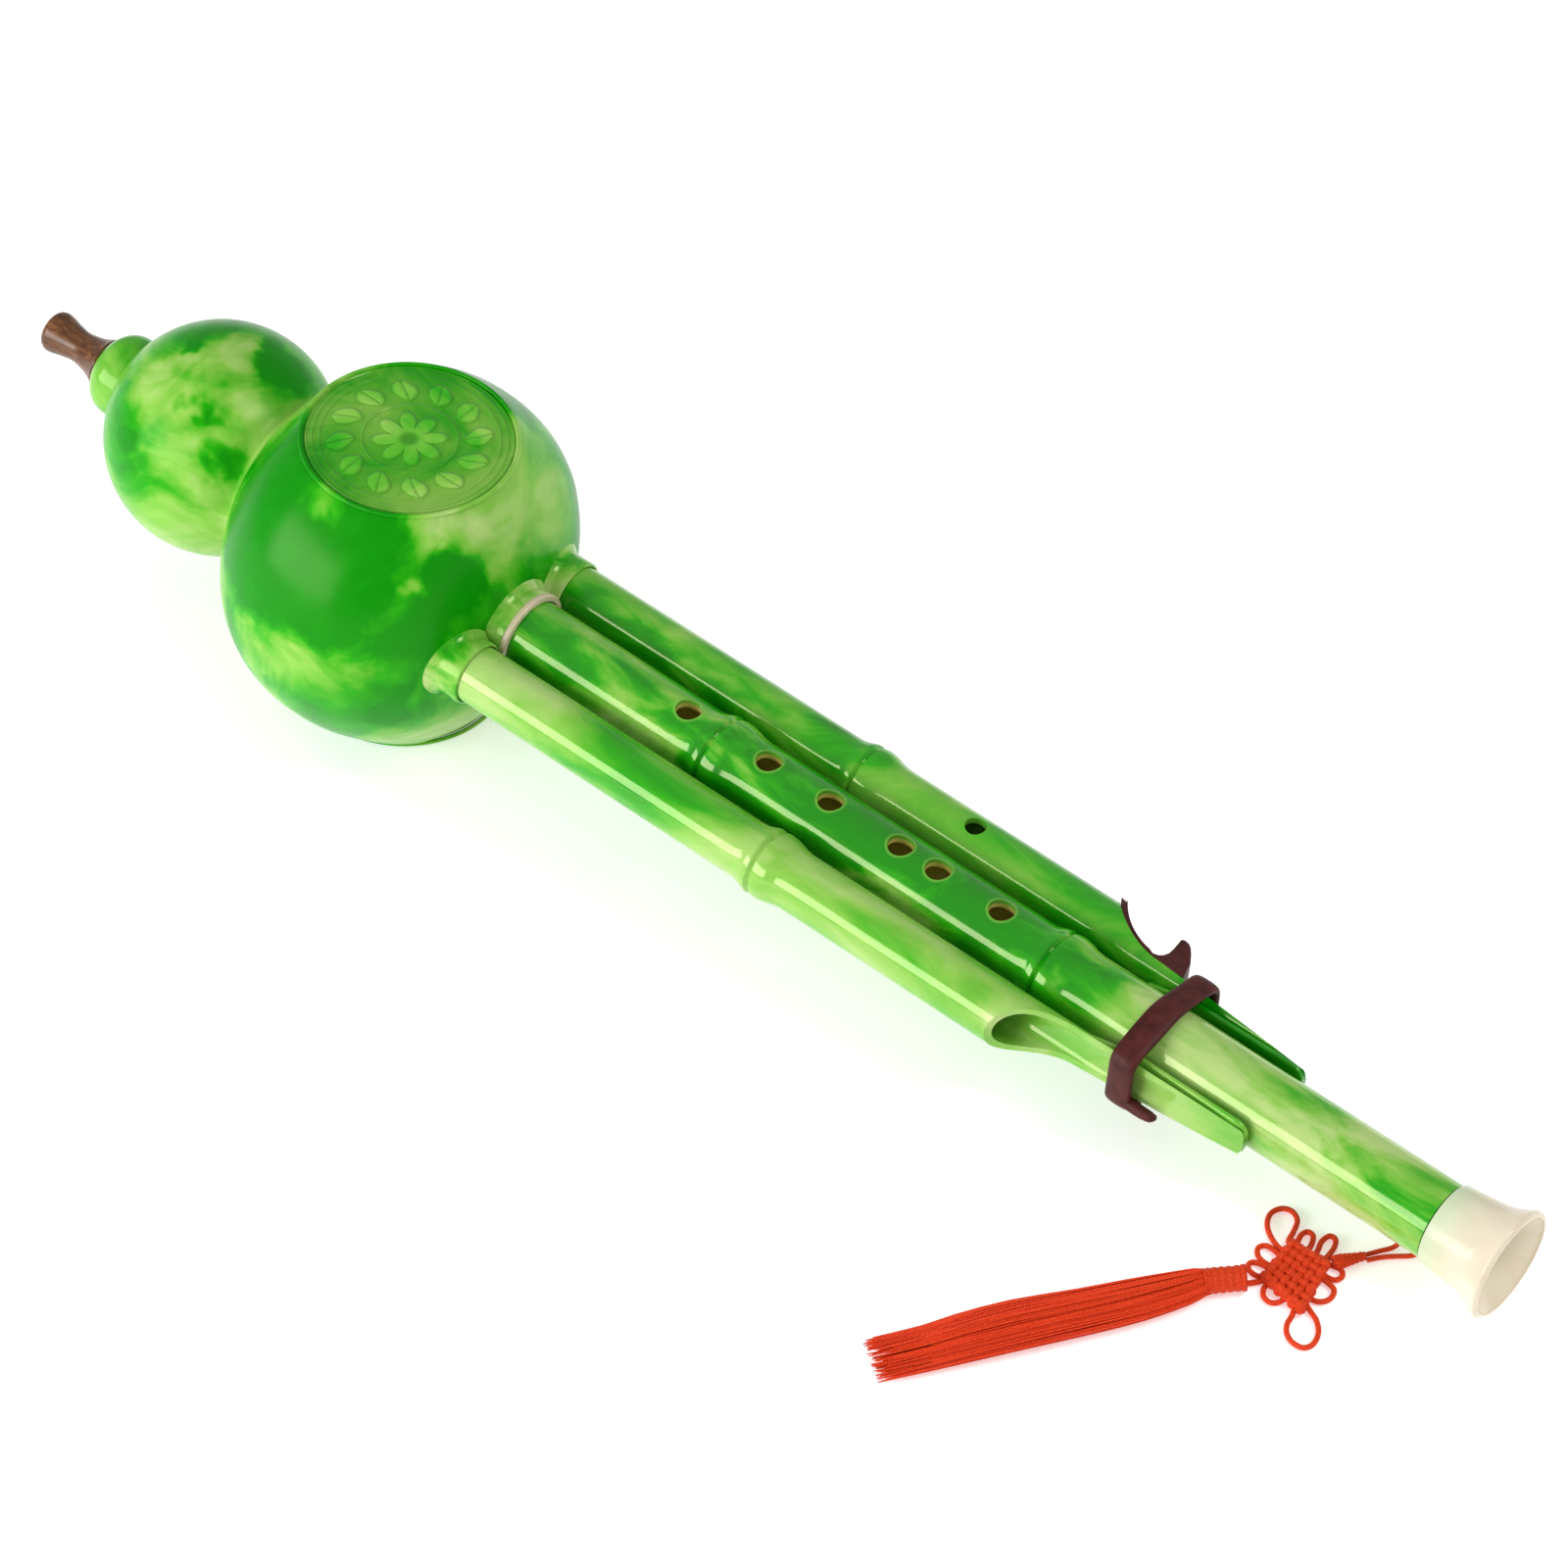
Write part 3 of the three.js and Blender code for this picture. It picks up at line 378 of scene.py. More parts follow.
def jade(name, stretch, shift, scale, pale=0.5, spots=(), holes=(), bore=None, spread=1.0, grain=0.45,
         gloss=(0.1, 0.2), shine=0.4, relief=None):
    """Glossy plastic marbled like jade. Spots are (x, y, z, radius, amount), paler or, where
    the amount is negative, deeper; some paler spots are painted highlights. Holes get a painted
    highlight on their rim, the bore's wall is painted a bright olive inside as painted light, and
    relief gives the heights of a carved ground, darkened as painted shade, and of its tops, paler as painted
    highlight."""
    shade = Shade(name)
    place = shade.place(stretch, shift)
    warp = shade.noise(place, scale * 0.7, detail=2, output="Color")
    warped = shade.vector("MULTIPLY_ADD", warp, (0.9 / scale,) * 3, place)
    broad = shade.noise(warped, scale, detail=5, roughness=0.55, distortion=0.6)
    value = shade.math("MULTIPLY_ADD", shade.math("SUBTRACT", broad, 0.5), spread, pale)
    own = shade.place()
    if spots:
        value = with_spots_and_highlights(shade, own, value, spots)
    streaks = shade.noise(warped, scale * 5, roughness=0.6)
    color = shade.mix(grain, shade.ramp(value, JADE), shade.ramp(streaks, STREAKS), "MULTIPLY")
    if holes:
        # Painted highlight: a pale rim round each finger hole.
        color = shade.mix(hole_rim_highlights(shade, own, holes), color, YELLOW_GREEN)
    if bore:
        # Painted light: the bore's wall is tinted a bright olive, standing in for light on the far wall seen
        # through the holes.
        depth = shade.vector("LENGTH", shade.vector("MULTIPLY", own, (0, 1, 1)))
        inside = shade.span(depth, bore + 1.6, bore + 0.9)
        before_joint = shade.math("LESS_THAN", shade.part(own, "X"), BELL_JOINT)
        color = shade.mix(shade.math("MULTIPLY", inside, before_joint), color, BORE_LIGHT_OLIVE)
    if relief:
        # Painted shade and highlight: the relief's sides near the ground are darkened and its tops made
        # paler.
        height = shade.span(shade.math("ABSOLUTE", shade.part(own, "Z")), *relief)
        color = shade.mix(0.85, color, shade.ramp(height, RELIEF_SHADE_AND_HIGHLIGHT), "MULTIPLY")
    return shade.finish(color, streaks, gloss, Normal=shade.bump(broad, 0.04, 0.0004), IOR=1.5,
                        Specular_IOR_Level=shine, Specular_Tint=(0.95, 1, 0.6), Subsurface_Weight=0.05,
                        Subsurface_Scale=0.003, Subsurface_Radius=(0.3, 1, 0.1))


def with_spots_and_highlights(shade, own, value, spots):
    """The marbling's value, raised or lowered in soft, ragged places; some raised places are painted
    highlights.
    """
    reach = 30
    wander = shade.noise(own, 0.055, roughness=0.55, output="Color")
    ragged = shade.vector("MULTIPLY_ADD", wander, (reach,) * 3, own)
    for *centre, radius, amount in spots:
        gap = shade.vector("DISTANCE", ragged, tuple(part + reach / 2 for part in centre))
        value = shade.math("ADD", value, shade.span(gap, radius, radius * 0.2, (0, amount), "SMOOTHSTEP"))
    return value


def hole_rim_highlights(shade, own, holes):
    """The share of painted highlight on the soft rim of each hole, 0 elsewhere."""
    beyond = []
    for x in holes:
        flat = shade.vector("MULTIPLY", shade.vector("SUBTRACT", own, (x, 0, 0)), (1, 1, 0))
        beyond.append(shade.math("SUBTRACT", shade.vector("LENGTH", flat), HOLE_RADIUS))
    nearest = beyond[0]
    for other in beyond[1:]:
        nearest = shade.math("MINIMUM", nearest, other)
    return shade.math("MULTIPLY", shade.span(nearest, 0.75, 0.35, kind="SMOOTHSTEP"), 0.45)


def plain_plastic(name, first, second, roughness):
    shade = Shade(name)
    place = shade.place()
    cloud = shade.noise(place, 0.12, detail=4)
    color = shade.ramp(cloud, [(0.35, first), (0.65, second)])
    fine = shade.noise(place, 1.2, detail=2)
    return shade.finish(color, cloud, (roughness * 0.8, roughness * 1.2),
                        Normal=shade.bump(fine, 0.03, 0.0002), IOR=1.48)


def bell_plastic():
    """Cream plastic that turns faintly green towards the joint."""
    shade = Shade("bell_cream")
    place = shade.place()
    cloud = shade.noise(place, 0.1, detail=4)
    cream = shade.ramp(cloud, [(0.3, (0.68, 0.59, 0.43)), (0.7, (0.76, 0.69, 0.54))])
    along = shade.span(shade.part(place, "X"), 420, 431)
    color = shade.mix(along, (0.5, 0.64, 0.4), cream)
    fine = shade.noise(place, 0.9, detail=2)
    return shade.finish(color, cloud, (0.16, 0.26), Normal=shade.bump(fine, 0.04, 0.0002), IOR=1.48,
                        Specular_IOR_Level=0.35, Subsurface_Weight=0.15, Subsurface_Scale=0.003)


def dark_rubber(name):
    shade = Shade(name)
    place = shade.place()
    cloud = shade.noise(place, 0.25, detail=5, roughness=0.6)
    color = shade.ramp(cloud, [(0.35, (0.04, 0.006, 0.005)), (0.65, (0.085, 0.014, 0.011))])
    grain = shade.noise(place, 4)
    return shade.finish(color, cloud, (0.42, 0.6), Normal=shade.bump(grain, 0.25, 0.00015), IOR=1.5,
                        Specular_IOR_Level=0.2)


def lacquered_wood():
    shade = Shade("mouthpiece_wood")
    grain = shade.noise(shade.place(scale=(0.05, 1, 1)), 0.9, detail=6, roughness=0.65, distortion=1.2)
    browns = [(0.3, (0.04, 0.013, 0.004)), (0.5, (0.11, 0.04, 0.012)), (0.7, (0.21, 0.09, 0.03))]
    return shade.finish(shade.ramp(grain, browns), grain, (0.2, 0.32), Normal=shade.bump(grain, 0.05, 0.0002),
                        Specular_IOR_Level=0.3, Coat_Weight=0.15, Coat_Roughness=0.1)


def silk_cord(name, scale=2.2, dark=0.5):
    """Bright red silky thread; its fine grooves are darkened with painted shade."""
    shade = Shade(name)
    place = shade.place(laid=False)
    inputs = {"Vector": place, "Scale": scale, "Distortion": 1.5, "Detail": 2}
    wave = shade.add("TexWave", inputs, wave_type="BANDS", bands_direction="DIAGONAL")
    wave = wave.outputs["Fac"]
    fibre = shade.noise(place, 3.5, detail=4, roughness=0.7)
    reds = [(0.3, (0.6 * dark, 0.012, 0.002)), (0.5, (0.86, 0.05, 0.006)), (0.75, (1, 0.12, 0.02))]
    # Painted shade: the wave's bands darken the thread in its grooves.
    groove = shade.ramp(wave, [(0.0, (0.62, 0.55, 0.55)), (0.4, (1, 1, 1))])
    color = shade.mix(0.8, shade.ramp(fibre, reds), groove, "MULTIPLY")
    return shade.finish(color, fibre, (0.42, 0.7), Normal=shade.bump(wave, 0.5, 0.0002),
                        Specular_IOR_Level=0.2, Sheen_Weight=0.12, Sheen_Roughness=0.4,
                        Sheen_Tint=(1, 0.35, 0.15))


def brass():
    shade = Shade("reed_brass")
    brushed = shade.noise(shade.place(scale=(0.05, 3, 1)), 2.5, detail=4)
    color = shade.ramp(brushed, [(0.3, (0.52, 0.32, 0.09)), (0.7, (0.8, 0.58, 0.24))])
    return shade.finish(color, brushed, (0.2, 0.38), Metallic=1)


# The gourd: two lobes, drawn tight over the two medallion rims

def on_disc(radius, angle, height):
    """A place on a medallion or round it."""
    return DISC_X + radius * cos(angle), radius * sin(angle), height


def hull_of_large_lobe():
    """The large lobe drawn tight over the rims, to be measured along rays."""
    lobe, rings, sides = LARGE_LOBE, 90, 240
    end = acos((lobe["x"] - GOURD_END) / lobe["half"])
    points = []
    for step in range(rings + 1):
        x = lobe["x"] - lobe["half"] * cos(end * step / rings)
        share = min(1, abs(x - lobe["x"]) / lobe["half"])
        radius = lobe["radius"] * (1 - share ** lobe["power"]) ** (1 / lobe["power"])
        points += ring(x, radius, sides)
    for angle in turns(sides):
        points += [on_disc(RIM_RADIUS, angle, z) for z in (-RIM_HEIGHT, RIM_HEIGHT)]
    work = bmesh.new()
    for point in points:
        work.verts.new(point)
    bmesh.ops.convex_hull(work, input=work.verts)
    tree = BVHTree.FromBMesh(work)
    work.free()
    return tree


def gourd_grid(stations, sides):
    """Radius of the gourd about its axis at each station and angle."""
    tree = hull_of_large_lobe()
    lobe, blend = SMALL_LOBE, 2.4
    radii = np.zeros((len(stations), sides))
    for row, x in enumerate(stations):
        ball = sqrt(max(0, lobe["radius"] ** 2 - (x - lobe["x"]) ** 2))
        for side, angle in enumerate(turns(sides)):
            way = Vector((0, sin(angle), cos(angle)))
            oval = tree.ray_cast(Vector((x, 0, 0)), way)[3] or 0
            near = max(0, 1 - abs(oval - ball) / blend / 2)
            radii[row, side] = max(oval, ball) + blend * near ** 2 / 4 * (oval > 0 and ball > 0)
    return radii


def smoothed(grid, passes):
    """Evens a grid that wraps round in its second direction; first and last rows stay."""
    for _ in range(passes):
        even = (np.roll(grid, 1, axis=1) + np.roll(grid, -1, axis=1) + 2 * grid) / 4
        even[1:-1] = (even[:-2] + even[2:] + 2 * even[1:-1]) / 4
        even[0], even[-1] = grid[0], grid[-1]
        grid = even
    return grid


def crown(radius):
    """How far the gourd's rounded end stands out at a distance from the axis."""
    return PLATE_CROWN * (1 - (radius / PLATE_RADIUS) ** 2)


def gourd_rows(sides):
    """Places along the axis and radii of the gourd's rows of points, over its rounded end too."""
    small_steps, small_rows, large_steps, end_steps, inner = 60, 47, 62, 22, 9
    lobe, end = SMALL_LOBE, GOURD_END - 0.9
    stations = [lobe["x"] - lobe["half"] * cos(pi * i / small_steps) for i in range(small_rows)]
    start = stations[-1]
    stations += [start + (end - start) * i / large_steps for i in range(1, large_steps + 1)]
    radii = list(smoothed(gourd_grid(stations, sides), 3))
    places = [np.full(sides, x) for x in stations]
    last = radii[-1]
    for step in range(1, end_steps + 1):
        radii.append(last + (inner - last) * step / end_steps)
        places.append(np.maximum(GOURD_END + crown(radii[-1]), end + 0.04 * step))
    places, radii = np.array(places), np.array(radii)
    shoulder = slice(len(stations) - 9, len(stations) + 7)
    for _ in range(14):
        for grid in (places, radii):
            grid[shoulder] = smoothed(grid[shoulder], 1)
    return places, radii


def make_gourd(look):
    """The two lobes with their rounded end, cut flat where the medallions lie."""
    sides = 192
    places, radii = gourd_rows(sides)
    work = bmesh.new()
    verts = []
    for xs, reaches in zip(places, radii):
        for x, reach, angle in zip(xs, reaches, turns(sides)):
            verts.append(work.verts.new((x, reach * sin(angle), reach * cos(angle))))
    for face in skin(len(places), sides):
        work.faces.new([verts[index] for index in face])
    for up in (-1, 1):
        cut = bmesh.ops.bisect_plane(work, geom=[*work.verts, *work.edges, *work.faces], dist=1e-4,
                                     plane_co=(0, 0, up * RIM_HEIGHT), plane_no=(0, 0, up), clear_outer=True)
        loop = [item for item in cut["geom_cut"] if isinstance(item, bmesh.types.BMEdge)]
        bmesh.ops.contextual_create(work, geom=loop)
    mesh = bpy.data.meshes.new("gourd_body")
    work.to_mesh(mesh)
    work.free()
    mesh.transform(LAID)
    piece = finish_mesh("gourd_body", mesh, 32)
    dress(piece, look, "gourd_plastic", "gourd", "gourd_front_shell", "gourd_back_shell")


# The medallions: a disc with a rosette and a ring of leaves, in a thin rim

def falls(value, edge, steep):
    """1 well below the edge and 0 well beyond it."""
    return 1 / (1 + exp((value - edge) * steep))


def rosette_height(radius, angle):
    """Relief of the medallion's pattern, from 0 on the ground to 1 at the top."""
    share = radius / DISC_RADIUS
    petals = falls(share, 0.12 + 0.24 * abs(cos(4 * angle)) ** 0.6, 70)
    core = falls(share, 0.09, 90)
    along = (share - 0.66) / 0.15
    across = (angle * 12 / (2 * pi)) % 1 - 0.5 - 0.12 * along
    leaf = falls(abs(across), 0.34 * max(0, 1 - along ** 2), 32) if abs(along) < 1 else 0
    vein = exp(-(across / 0.03) ** 2)
    rings = sum(exp(-((share - at) / 0.012) ** 2) for at in (0.46, 0.86, 0.93))
    return max(petals - 0.6 * core, leaf * (1 - 0.6 * vein), 0.8 * min(1, rings))


def make_medallion(name, side, look, node):
    """A disc with the pattern in relief, its edge reaching down inside the rim."""
    rings, spokes, depth, reach = 84, 264, 0.34, DISC_RADIUS - 0.4
    edge = [(reach, DISC_TOP - 0.05), (DISC_RADIUS - 0.1, DISC_TOP - 0.3),
            (DISC_RADIUS, DISC_TOP - 0.7), (DISC_RADIUS, RIM_HEIGHT - 1)]
    verts = []
    for step in range(1, rings):
        radius = reach * step / rings
        for angle in turns(spokes):
            height = DISC_TOP - depth * (1 - rosette_height(radius, angle))
            verts.append(on_disc(radius, angle, side * height))
    for radius, height in edge:
        verts += [on_disc(radius, angle, side * height) for angle in turns(spokes)]
    middle = len(verts)
    verts.append((DISC_X, 0, side * (DISC_TOP - depth * 0.4)))
    faces = strips(rings - 1 + len(edge), spokes) + [tuple(range(middle - spokes, middle))]
    faces += [(middle, spoke, (spoke + 1) % spokes) for spoke in range(spokes)]
    make_piece(name, (verts, faces), look, "medallion_plastic", "gourd", node, sharp=50)


def make_rim(name, side, rise, look):
    """The thin raised bead round a medallion, part of the gourd."""
    spokes, steps, half = 192, 12, 0.62
    middle = (DISC_RADIUS + FIT_GAP + RIM_RADIUS) / 2
    verts = []
    for angle in turns(spokes):
        for turn in turns(steps):
            height = RIM_HEIGHT + rise * sin(turn)
            verts.append(on_disc(middle + half * cos(turn), angle, side * height))
    make_piece(name, (verts, strips(spokes, steps, closed=True)), look, "gourd_plastic", "gourd")


# Turned pieces

def make_mouthpiece(look):
    outside = smooth([(0.2, 3.9), (0.55, 4.95), (1.8, 5.4), (3.6, 5.15), (6.2, 4.55), (9.8, 4.1), (14, 4.85),
                      (17.2, 6.1), (18.4, 6.8), (18.9, 6.75)], 6)
    profile = outside + [(19.2, 6.3), (19.2, 4.6), (32.2, 4.6), (32.2, 2.2), (1.2, 2.2), (0.4, 2.8)]
    make_piece("mouthpiece_tube", turned(profile, 72), look, "mouthpiece_wood", "mouthpiece", "mouthpiece")


def make_collar(look):
    outside = smooth([(19.5, 7.2), (20.2, 8.46), (21.68, 9.79), (23.42, 10.58), (25.16, 10.8), (26.9, 10.73),
                      (28.2, 10.6), (29.1, 10.5)], 6)
    spigot = [(29.2, 10.2), (28.5, 7.3), (36.2, 7.2), (36.2, 2.2), (32.5, 2.2), (32.5, 4.9), (19.5, 4.9)]
    make_piece("neck_bead", turned(outside + spigot, 96), look, "gourd_plastic", "gourd", "neck_collar")


def sleeve_profile(radius, bore):
    foot = [(-1, 2.3), (-0.2, 1.7), (0.25, 0.9), (0.9, 0.35), (1.7, 0)]
    foot = [(GOURD_END + along, radius + out) for along, out in foot]
    lip = [(-0.7, radius), (-0.25, radius - 0.12), (0, radius - 0.45), (0, bore)]
    lip = [(SLEEVE_END + along, out) for along, out in lip]
    return foot + fine_profile([foot[-1], lip[0]], 2)[1:] + lip[1:] + [(GOURD_END - 1, bore)]


def on_crown(shape):
    """The foot of a sleeve follows the rounded end that it stands on."""
    verts, faces = shape
    return [(x + crown(hypot(y, z)) * (x < GOURD_END + 2), y, z) for x, y, z in verts], faces


def within(shape, low, high):
    """The shape with a flat side wherever it would reach beyond low or high in y."""
    verts, faces = shape
    return [(x, max(low, min(high, y)), z) for x, y, z in verts], faces


def make_sockets(look, rim_look):
    """The three sleeves on the gourd's end, and the pale rim of the middle one. Their sides are flat
    where the pipes beside them pass."""
    bore = MAIN_RADIUS + FIT_GAP
    free = PIPE_PITCH - DRONE_RADIUS - FIT_GAP
    sleeve = within(on_crown(turned(sleeve_profile(MAIN_SLEEVE, bore), 96)), -free, free)
    make_piece("main_sleeve", sleeve, look, "socket_plastic", "gourd", "pipe_socket")
    lip = [(-0.3, -0.4), (-0.1, 0), (0.3, 0.1), (0.9, 0.05), (1.3, -0.2), (1.4, -0.6)]
    lip = [(SLEEVE_END + along, MAIN_SLEEVE + out) for along, out in lip]
    rim = within(turned(lip + [(lip[-1][0], bore), (lip[0][0], bore)], 96), -free, free)
    make_piece("main_sleeve_rim", rim, rim_look, "socket_plastic", "gourd")
    profile = sleeve_profile(DRONE_SLEEVE, DRONE_RADIUS + FIT_GAP)
    for name, side, room in (("near_sleeve", -1, (-inf, -bore)), ("far_sleeve", 1, (bore, inf))):
        sleeve = within(on_crown(turned(profile, 80, side * PIPE_PITCH)), *room)
        make_piece(name, sleeve, look, "socket_plastic", "gourd")


def node_profile(x, radius):
    """A bamboo-like swelling with a groove between its two ridges."""
    shares = [(-1.1, 0), (-0.75, 0.25), (-0.45, 0.75), (-0.25, 1.05), (-0.14, 1.02), (-0.06, 0.5), (0, 0.3),
              (0.06, 0.5), (0.14, 1.02), (0.3, 1.12), (0.6, 1), (0.9, 0.68), (1.2, 0.25), (1.6, 0)]
    return [(x + along * NODE_LENGTH, radius + rise * NODE_RISE) for along, rise in shares]


def pipe_profile(start, end, radius, bore, nodes, tail=()):
    outline = [(start, radius)]
    for x in nodes:
        outline += node_profile(x, radius)
    outline += [(end, radius), *tail]
    outer = fine_profile(outline, 3.5)
    return outer + [(outer[-1][0], bore), (start, bore)]


def reed_seat(start, y, radius, reed):
    """Cutters for the flat that a reed plate lies on and for the window under it."""
    seat = start + REED_PLACE
    length, width = reed["window"]
    window = seat + (reed["plate"] - length) / 2
    above = radius * 3
    return [
        block((seat - FIT_GAP, y - above, reed["flat"]), (seat + reed["plate"] + FIT_GAP, y + above, above)),
        block((window, y - width / 2, FRONT[0]), (window + length, y + width / 2, above)),
    ]


def make_main_pipe(look):
    tail = [(BELL_JOINT, TENON_RADIUS), (BELL_JOINT + TENON_LENGTH, TENON_RADIUS)]
    shape = turned(pipe_profile(MAIN_START, BELL_JOINT, MAIN_RADIUS, MAIN_BORE, MAIN_NODES, tail), 96)
    cutters = [drill(x, 0, HOLE_RADIUS, *FRONT) for x in FINGER_HOLES]
    cutters.append(drill(THUMB_HOLE, 0, HOLE_RADIUS, *BACK))
    cutters += [drill(x, 0, CORD_HOLE_RADIUS, *BACK, 20) for x in CORD_HOLES]
    cutters += reed_seat(MAIN_START, 0, MAIN_RADIUS, MAIN_REED)
    dress(cut_object("main_tube", shape, cutters), look, "pipe_plastic", "main_pipe", "main_pipe")


def scoop_curve(raised):
    """The scoop's arc in (x, distance outward), from the pipe's surface to the trough."""
    steps, length = 24, SCOOP_END - SCOOP_START
    rise = DRONE_RADIUS + TROUGH_DEPTH
    radius = (length ** 2 + rise ** 2) / (2 * rise)
    curve = []
    for step in range(steps + 1):
        x = SCOOP_START + length * step / steps
        slope = (SCOOP_END - x) / radius
        away = radius - TROUGH_DEPTH - sqrt(radius ** 2 - (SCOOP_END - x) ** 2)
        curve.append((x + raised * slope, away + raised * sqrt(1 - slope ** 2)))
    return curve


def make_drone(name, side, has_hole, look, node, body):
    """A drone cut open by its scoop and trough, with rounded corners and a flat tail."""
    middle, reach, beyond = side * PIPE_PITCH, 12, 15
    scoop = [(SCOOP_START - 1, DRONE_RADIUS + 1.2), *scoop_curve(0), (DRONE_END + 1, -TROUGH_END_DEPTH),
             (DRONE_END + 1, beyond), (SCOOP_START - 1, beyond)]
    corner = [(-3.2, beyond), (-3.2, 5.3), (-1.5, 4.6), (-0.4, 3.2), (0.1, 1.4), (2, 1.4), (2, beyond)]
    corner = [(DRONE_END + along, out) for along, out in corner]
    cutters = [prism(scoop, -reach, reach, lambda x, d, z: (x, side * (PIPE_PITCH + d), z))]
    cutters += reed_seat(DRONE_START, middle, DRONE_RADIUS, DRONE_REED)
    for up in (-1, 1):
        cutters.append(prism(corner, -reach, reach, lambda x, d, z: (x, middle + z, up * d)))
    if has_hole:
        cutters.append(drill(DRONE_HOLE, middle, DRONE_HOLE_RADIUS, *FRONT))
    shape = turned(pipe_profile(DRONE_START, DRONE_END, DRONE_RADIUS, DRONE_BORE, (DRONE_NODE,)), 80, middle)
    dress(cut_object(name, shape, cutters), look, "pipe_plastic", body, node)
    make_piece(name + "_tail", drone_tail(side), look, "pipe_plastic", body)


def flat_oval(wide, thick, wide_power, thick_power, around=28):
    """Points round an oval; powers below 1 make it fuller, like a rounded box."""
    points = []
    for angle in turns(around):
        across, out = cos(angle), sin(angle)
        points.append((wide * copysign(abs(across) ** wide_power, across),
                       thick * copysign(abs(out) ** thick_power, out)))
    return points


def drone_tail(side):
    """The flat strip that the trough runs out into, with a rounded end."""
    steps, narrow, taper, end_round = 40, 2, 12, 3.5
    start = SCOOP_END + 0.6
    verts = []
    for step in range(steps + 1):
        share = sin(pi / 2 * step / steps)
        x = start + (DRONE_END - start) * share
        wide = narrow + (TAIL_HALF_WIDTH - narrow) * min(1, (x - start) / taper)
        past = max(0, 1 - (DRONE_END - x) / end_round)
        wide *= 0.45 + 0.55 * sqrt(max(0, 1 - past ** 2))
        thick = (0.82 + 0.2 * share) * (1 - 0.3 * past)
        section = flat_oval(wide, thick, 0.5, 0.7)
        verts += [(x, side * (PIPE_PITCH - TAIL_FACE + thick + out), z) for z, out in section]
    return verts, skin(steps + 1, len(section))


def make_bell(look):
    """The flared foot, hollow, with the socket for the main pipe's tenon."""
    outside = [(421.7, MAIN_RADIUS), (421.8, 9.8), (422.2, 10.05)]
    outside += smooth([(423, 10.12), (427, 10.5), BELL_WAIST, (433.4, 11.35), (436, 12.4), (438, 13.4),
                       BELL_LIP, (439.4, 13.7), (439.9, 13.2)], 5)
    inside = smooth([(440, 12.9), (439.9, 12.5), (439.3, 12.2), (436.5, 9.6), (432.9, 7.1)], 5)
    profile = outside + inside + [(432.1, 7), (431.9, 8.3), (421.7, 8.3)]
    make_piece("bell_foot", turned(profile, 96), look, "bell_plastic", "bell", "bell")


# The rubber band and the stopper

def band_path(offset):
    """The loop round the main pipe and the two troughs, as (y, z), evenly spaced. It is wide enough
    for the lips of a drone that is pulled out."""
    depth_share = (BAND_START - DRONE_PULL - SCOOP_END) / (DRONE_END - SCOOP_END)
    depth = TROUGH_DEPTH + (TROUGH_END_DEPTH - TROUGH_DEPTH) * depth_share
    corner_y = PIPE_PITCH - depth
    corner_z = sqrt(DRONE_RADIUS ** 2 - depth ** 2)
    radius = MAIN_RADIUS + offset
    reach = hypot(corner_y, corner_z)
    tangent = atan2(corner_z, corner_y) + acos((radius - offset) / reach)
    lip = offset + 0.5
    quarter = [(corner_y + lip, 0), (corner_y + lip, corner_z * 0.5)]
    for angle in np.linspace(0, tangent, 9):
        quarter.append((corner_y + lip * cos(angle), corner_z + lip * sin(angle)))
    for angle in np.linspace(tangent, pi / 2, 31):
        quarter.append((radius * cos(angle), radius * sin(angle)))
    upper = quarter + [(-y, z) for y, z in reversed(quarter[:-1])]
    return even_loop(upper + [(y, -z) for y, z in reversed(upper[1:-1])], 200)


def even_loop(points, count):
    """The closed loop with evenly spaced points and soft corners."""
    points = np.array(points + points[:1])
    gaps = np.hypot(*np.diff(points, axis=0).T)
    run = np.concatenate([[0], np.cumsum(gaps)])
    at = np.linspace(0, run[-1], count, endpoint=False)
    even = np.stack([np.interp(at, run, line) for line in points.T], axis=1)
    for _ in range(24):
        even = (np.roll(even, 1, axis=0) + np.roll(even, -1, axis=0) + 2 * even) / 4
    return [Vector(place) for place in even]


def make_band(look):
    """A rounded strip round the pipes, a little uneven, with a pull tab on the near side."""
    path = band_path(FIT_GAP + BAND_THICKNESS / 2)
    count, half = len(path), BAND_WIDTH / 2
    section = flat_oval(half, BAND_THICKNESS / 2, 0.75, 0.75)
    verts = []
    for i, turn in enumerate(turns(count)):
        y, z = path[i]
        along = (path[(i + 1) % count] - path[i - 1]).normalized()
        sway = 0.12 * sin(2 * turn + 1)
        swell = 0.95 * (1 + 0.04 * sin(3 * turn + 2))
        for width, lift in section:
            x = BAND_START + half + sway + width * swell
            verts.append((x, y + along.y * lift, z - along.x * lift))
    loop = verts, strips(count, len(section), closed=True)
    make_piece("band_loop", loop, look, "dark_rubber", "band", "rubber_band")
    run = [(344.1, -15.6, -5.4), (348.1, -15.75, -5.35), (350.6, -15.8, -5.3), (352.8, -15.7, -5.1),
           (354, -15.3, -4.6)]
    tab = tube_mesh(run, [1.5, 1.55, 1.5, 1.3, 0.5], 16, 6)
    make_piece("band_tab", tab, look, "dark_rubber", "band")


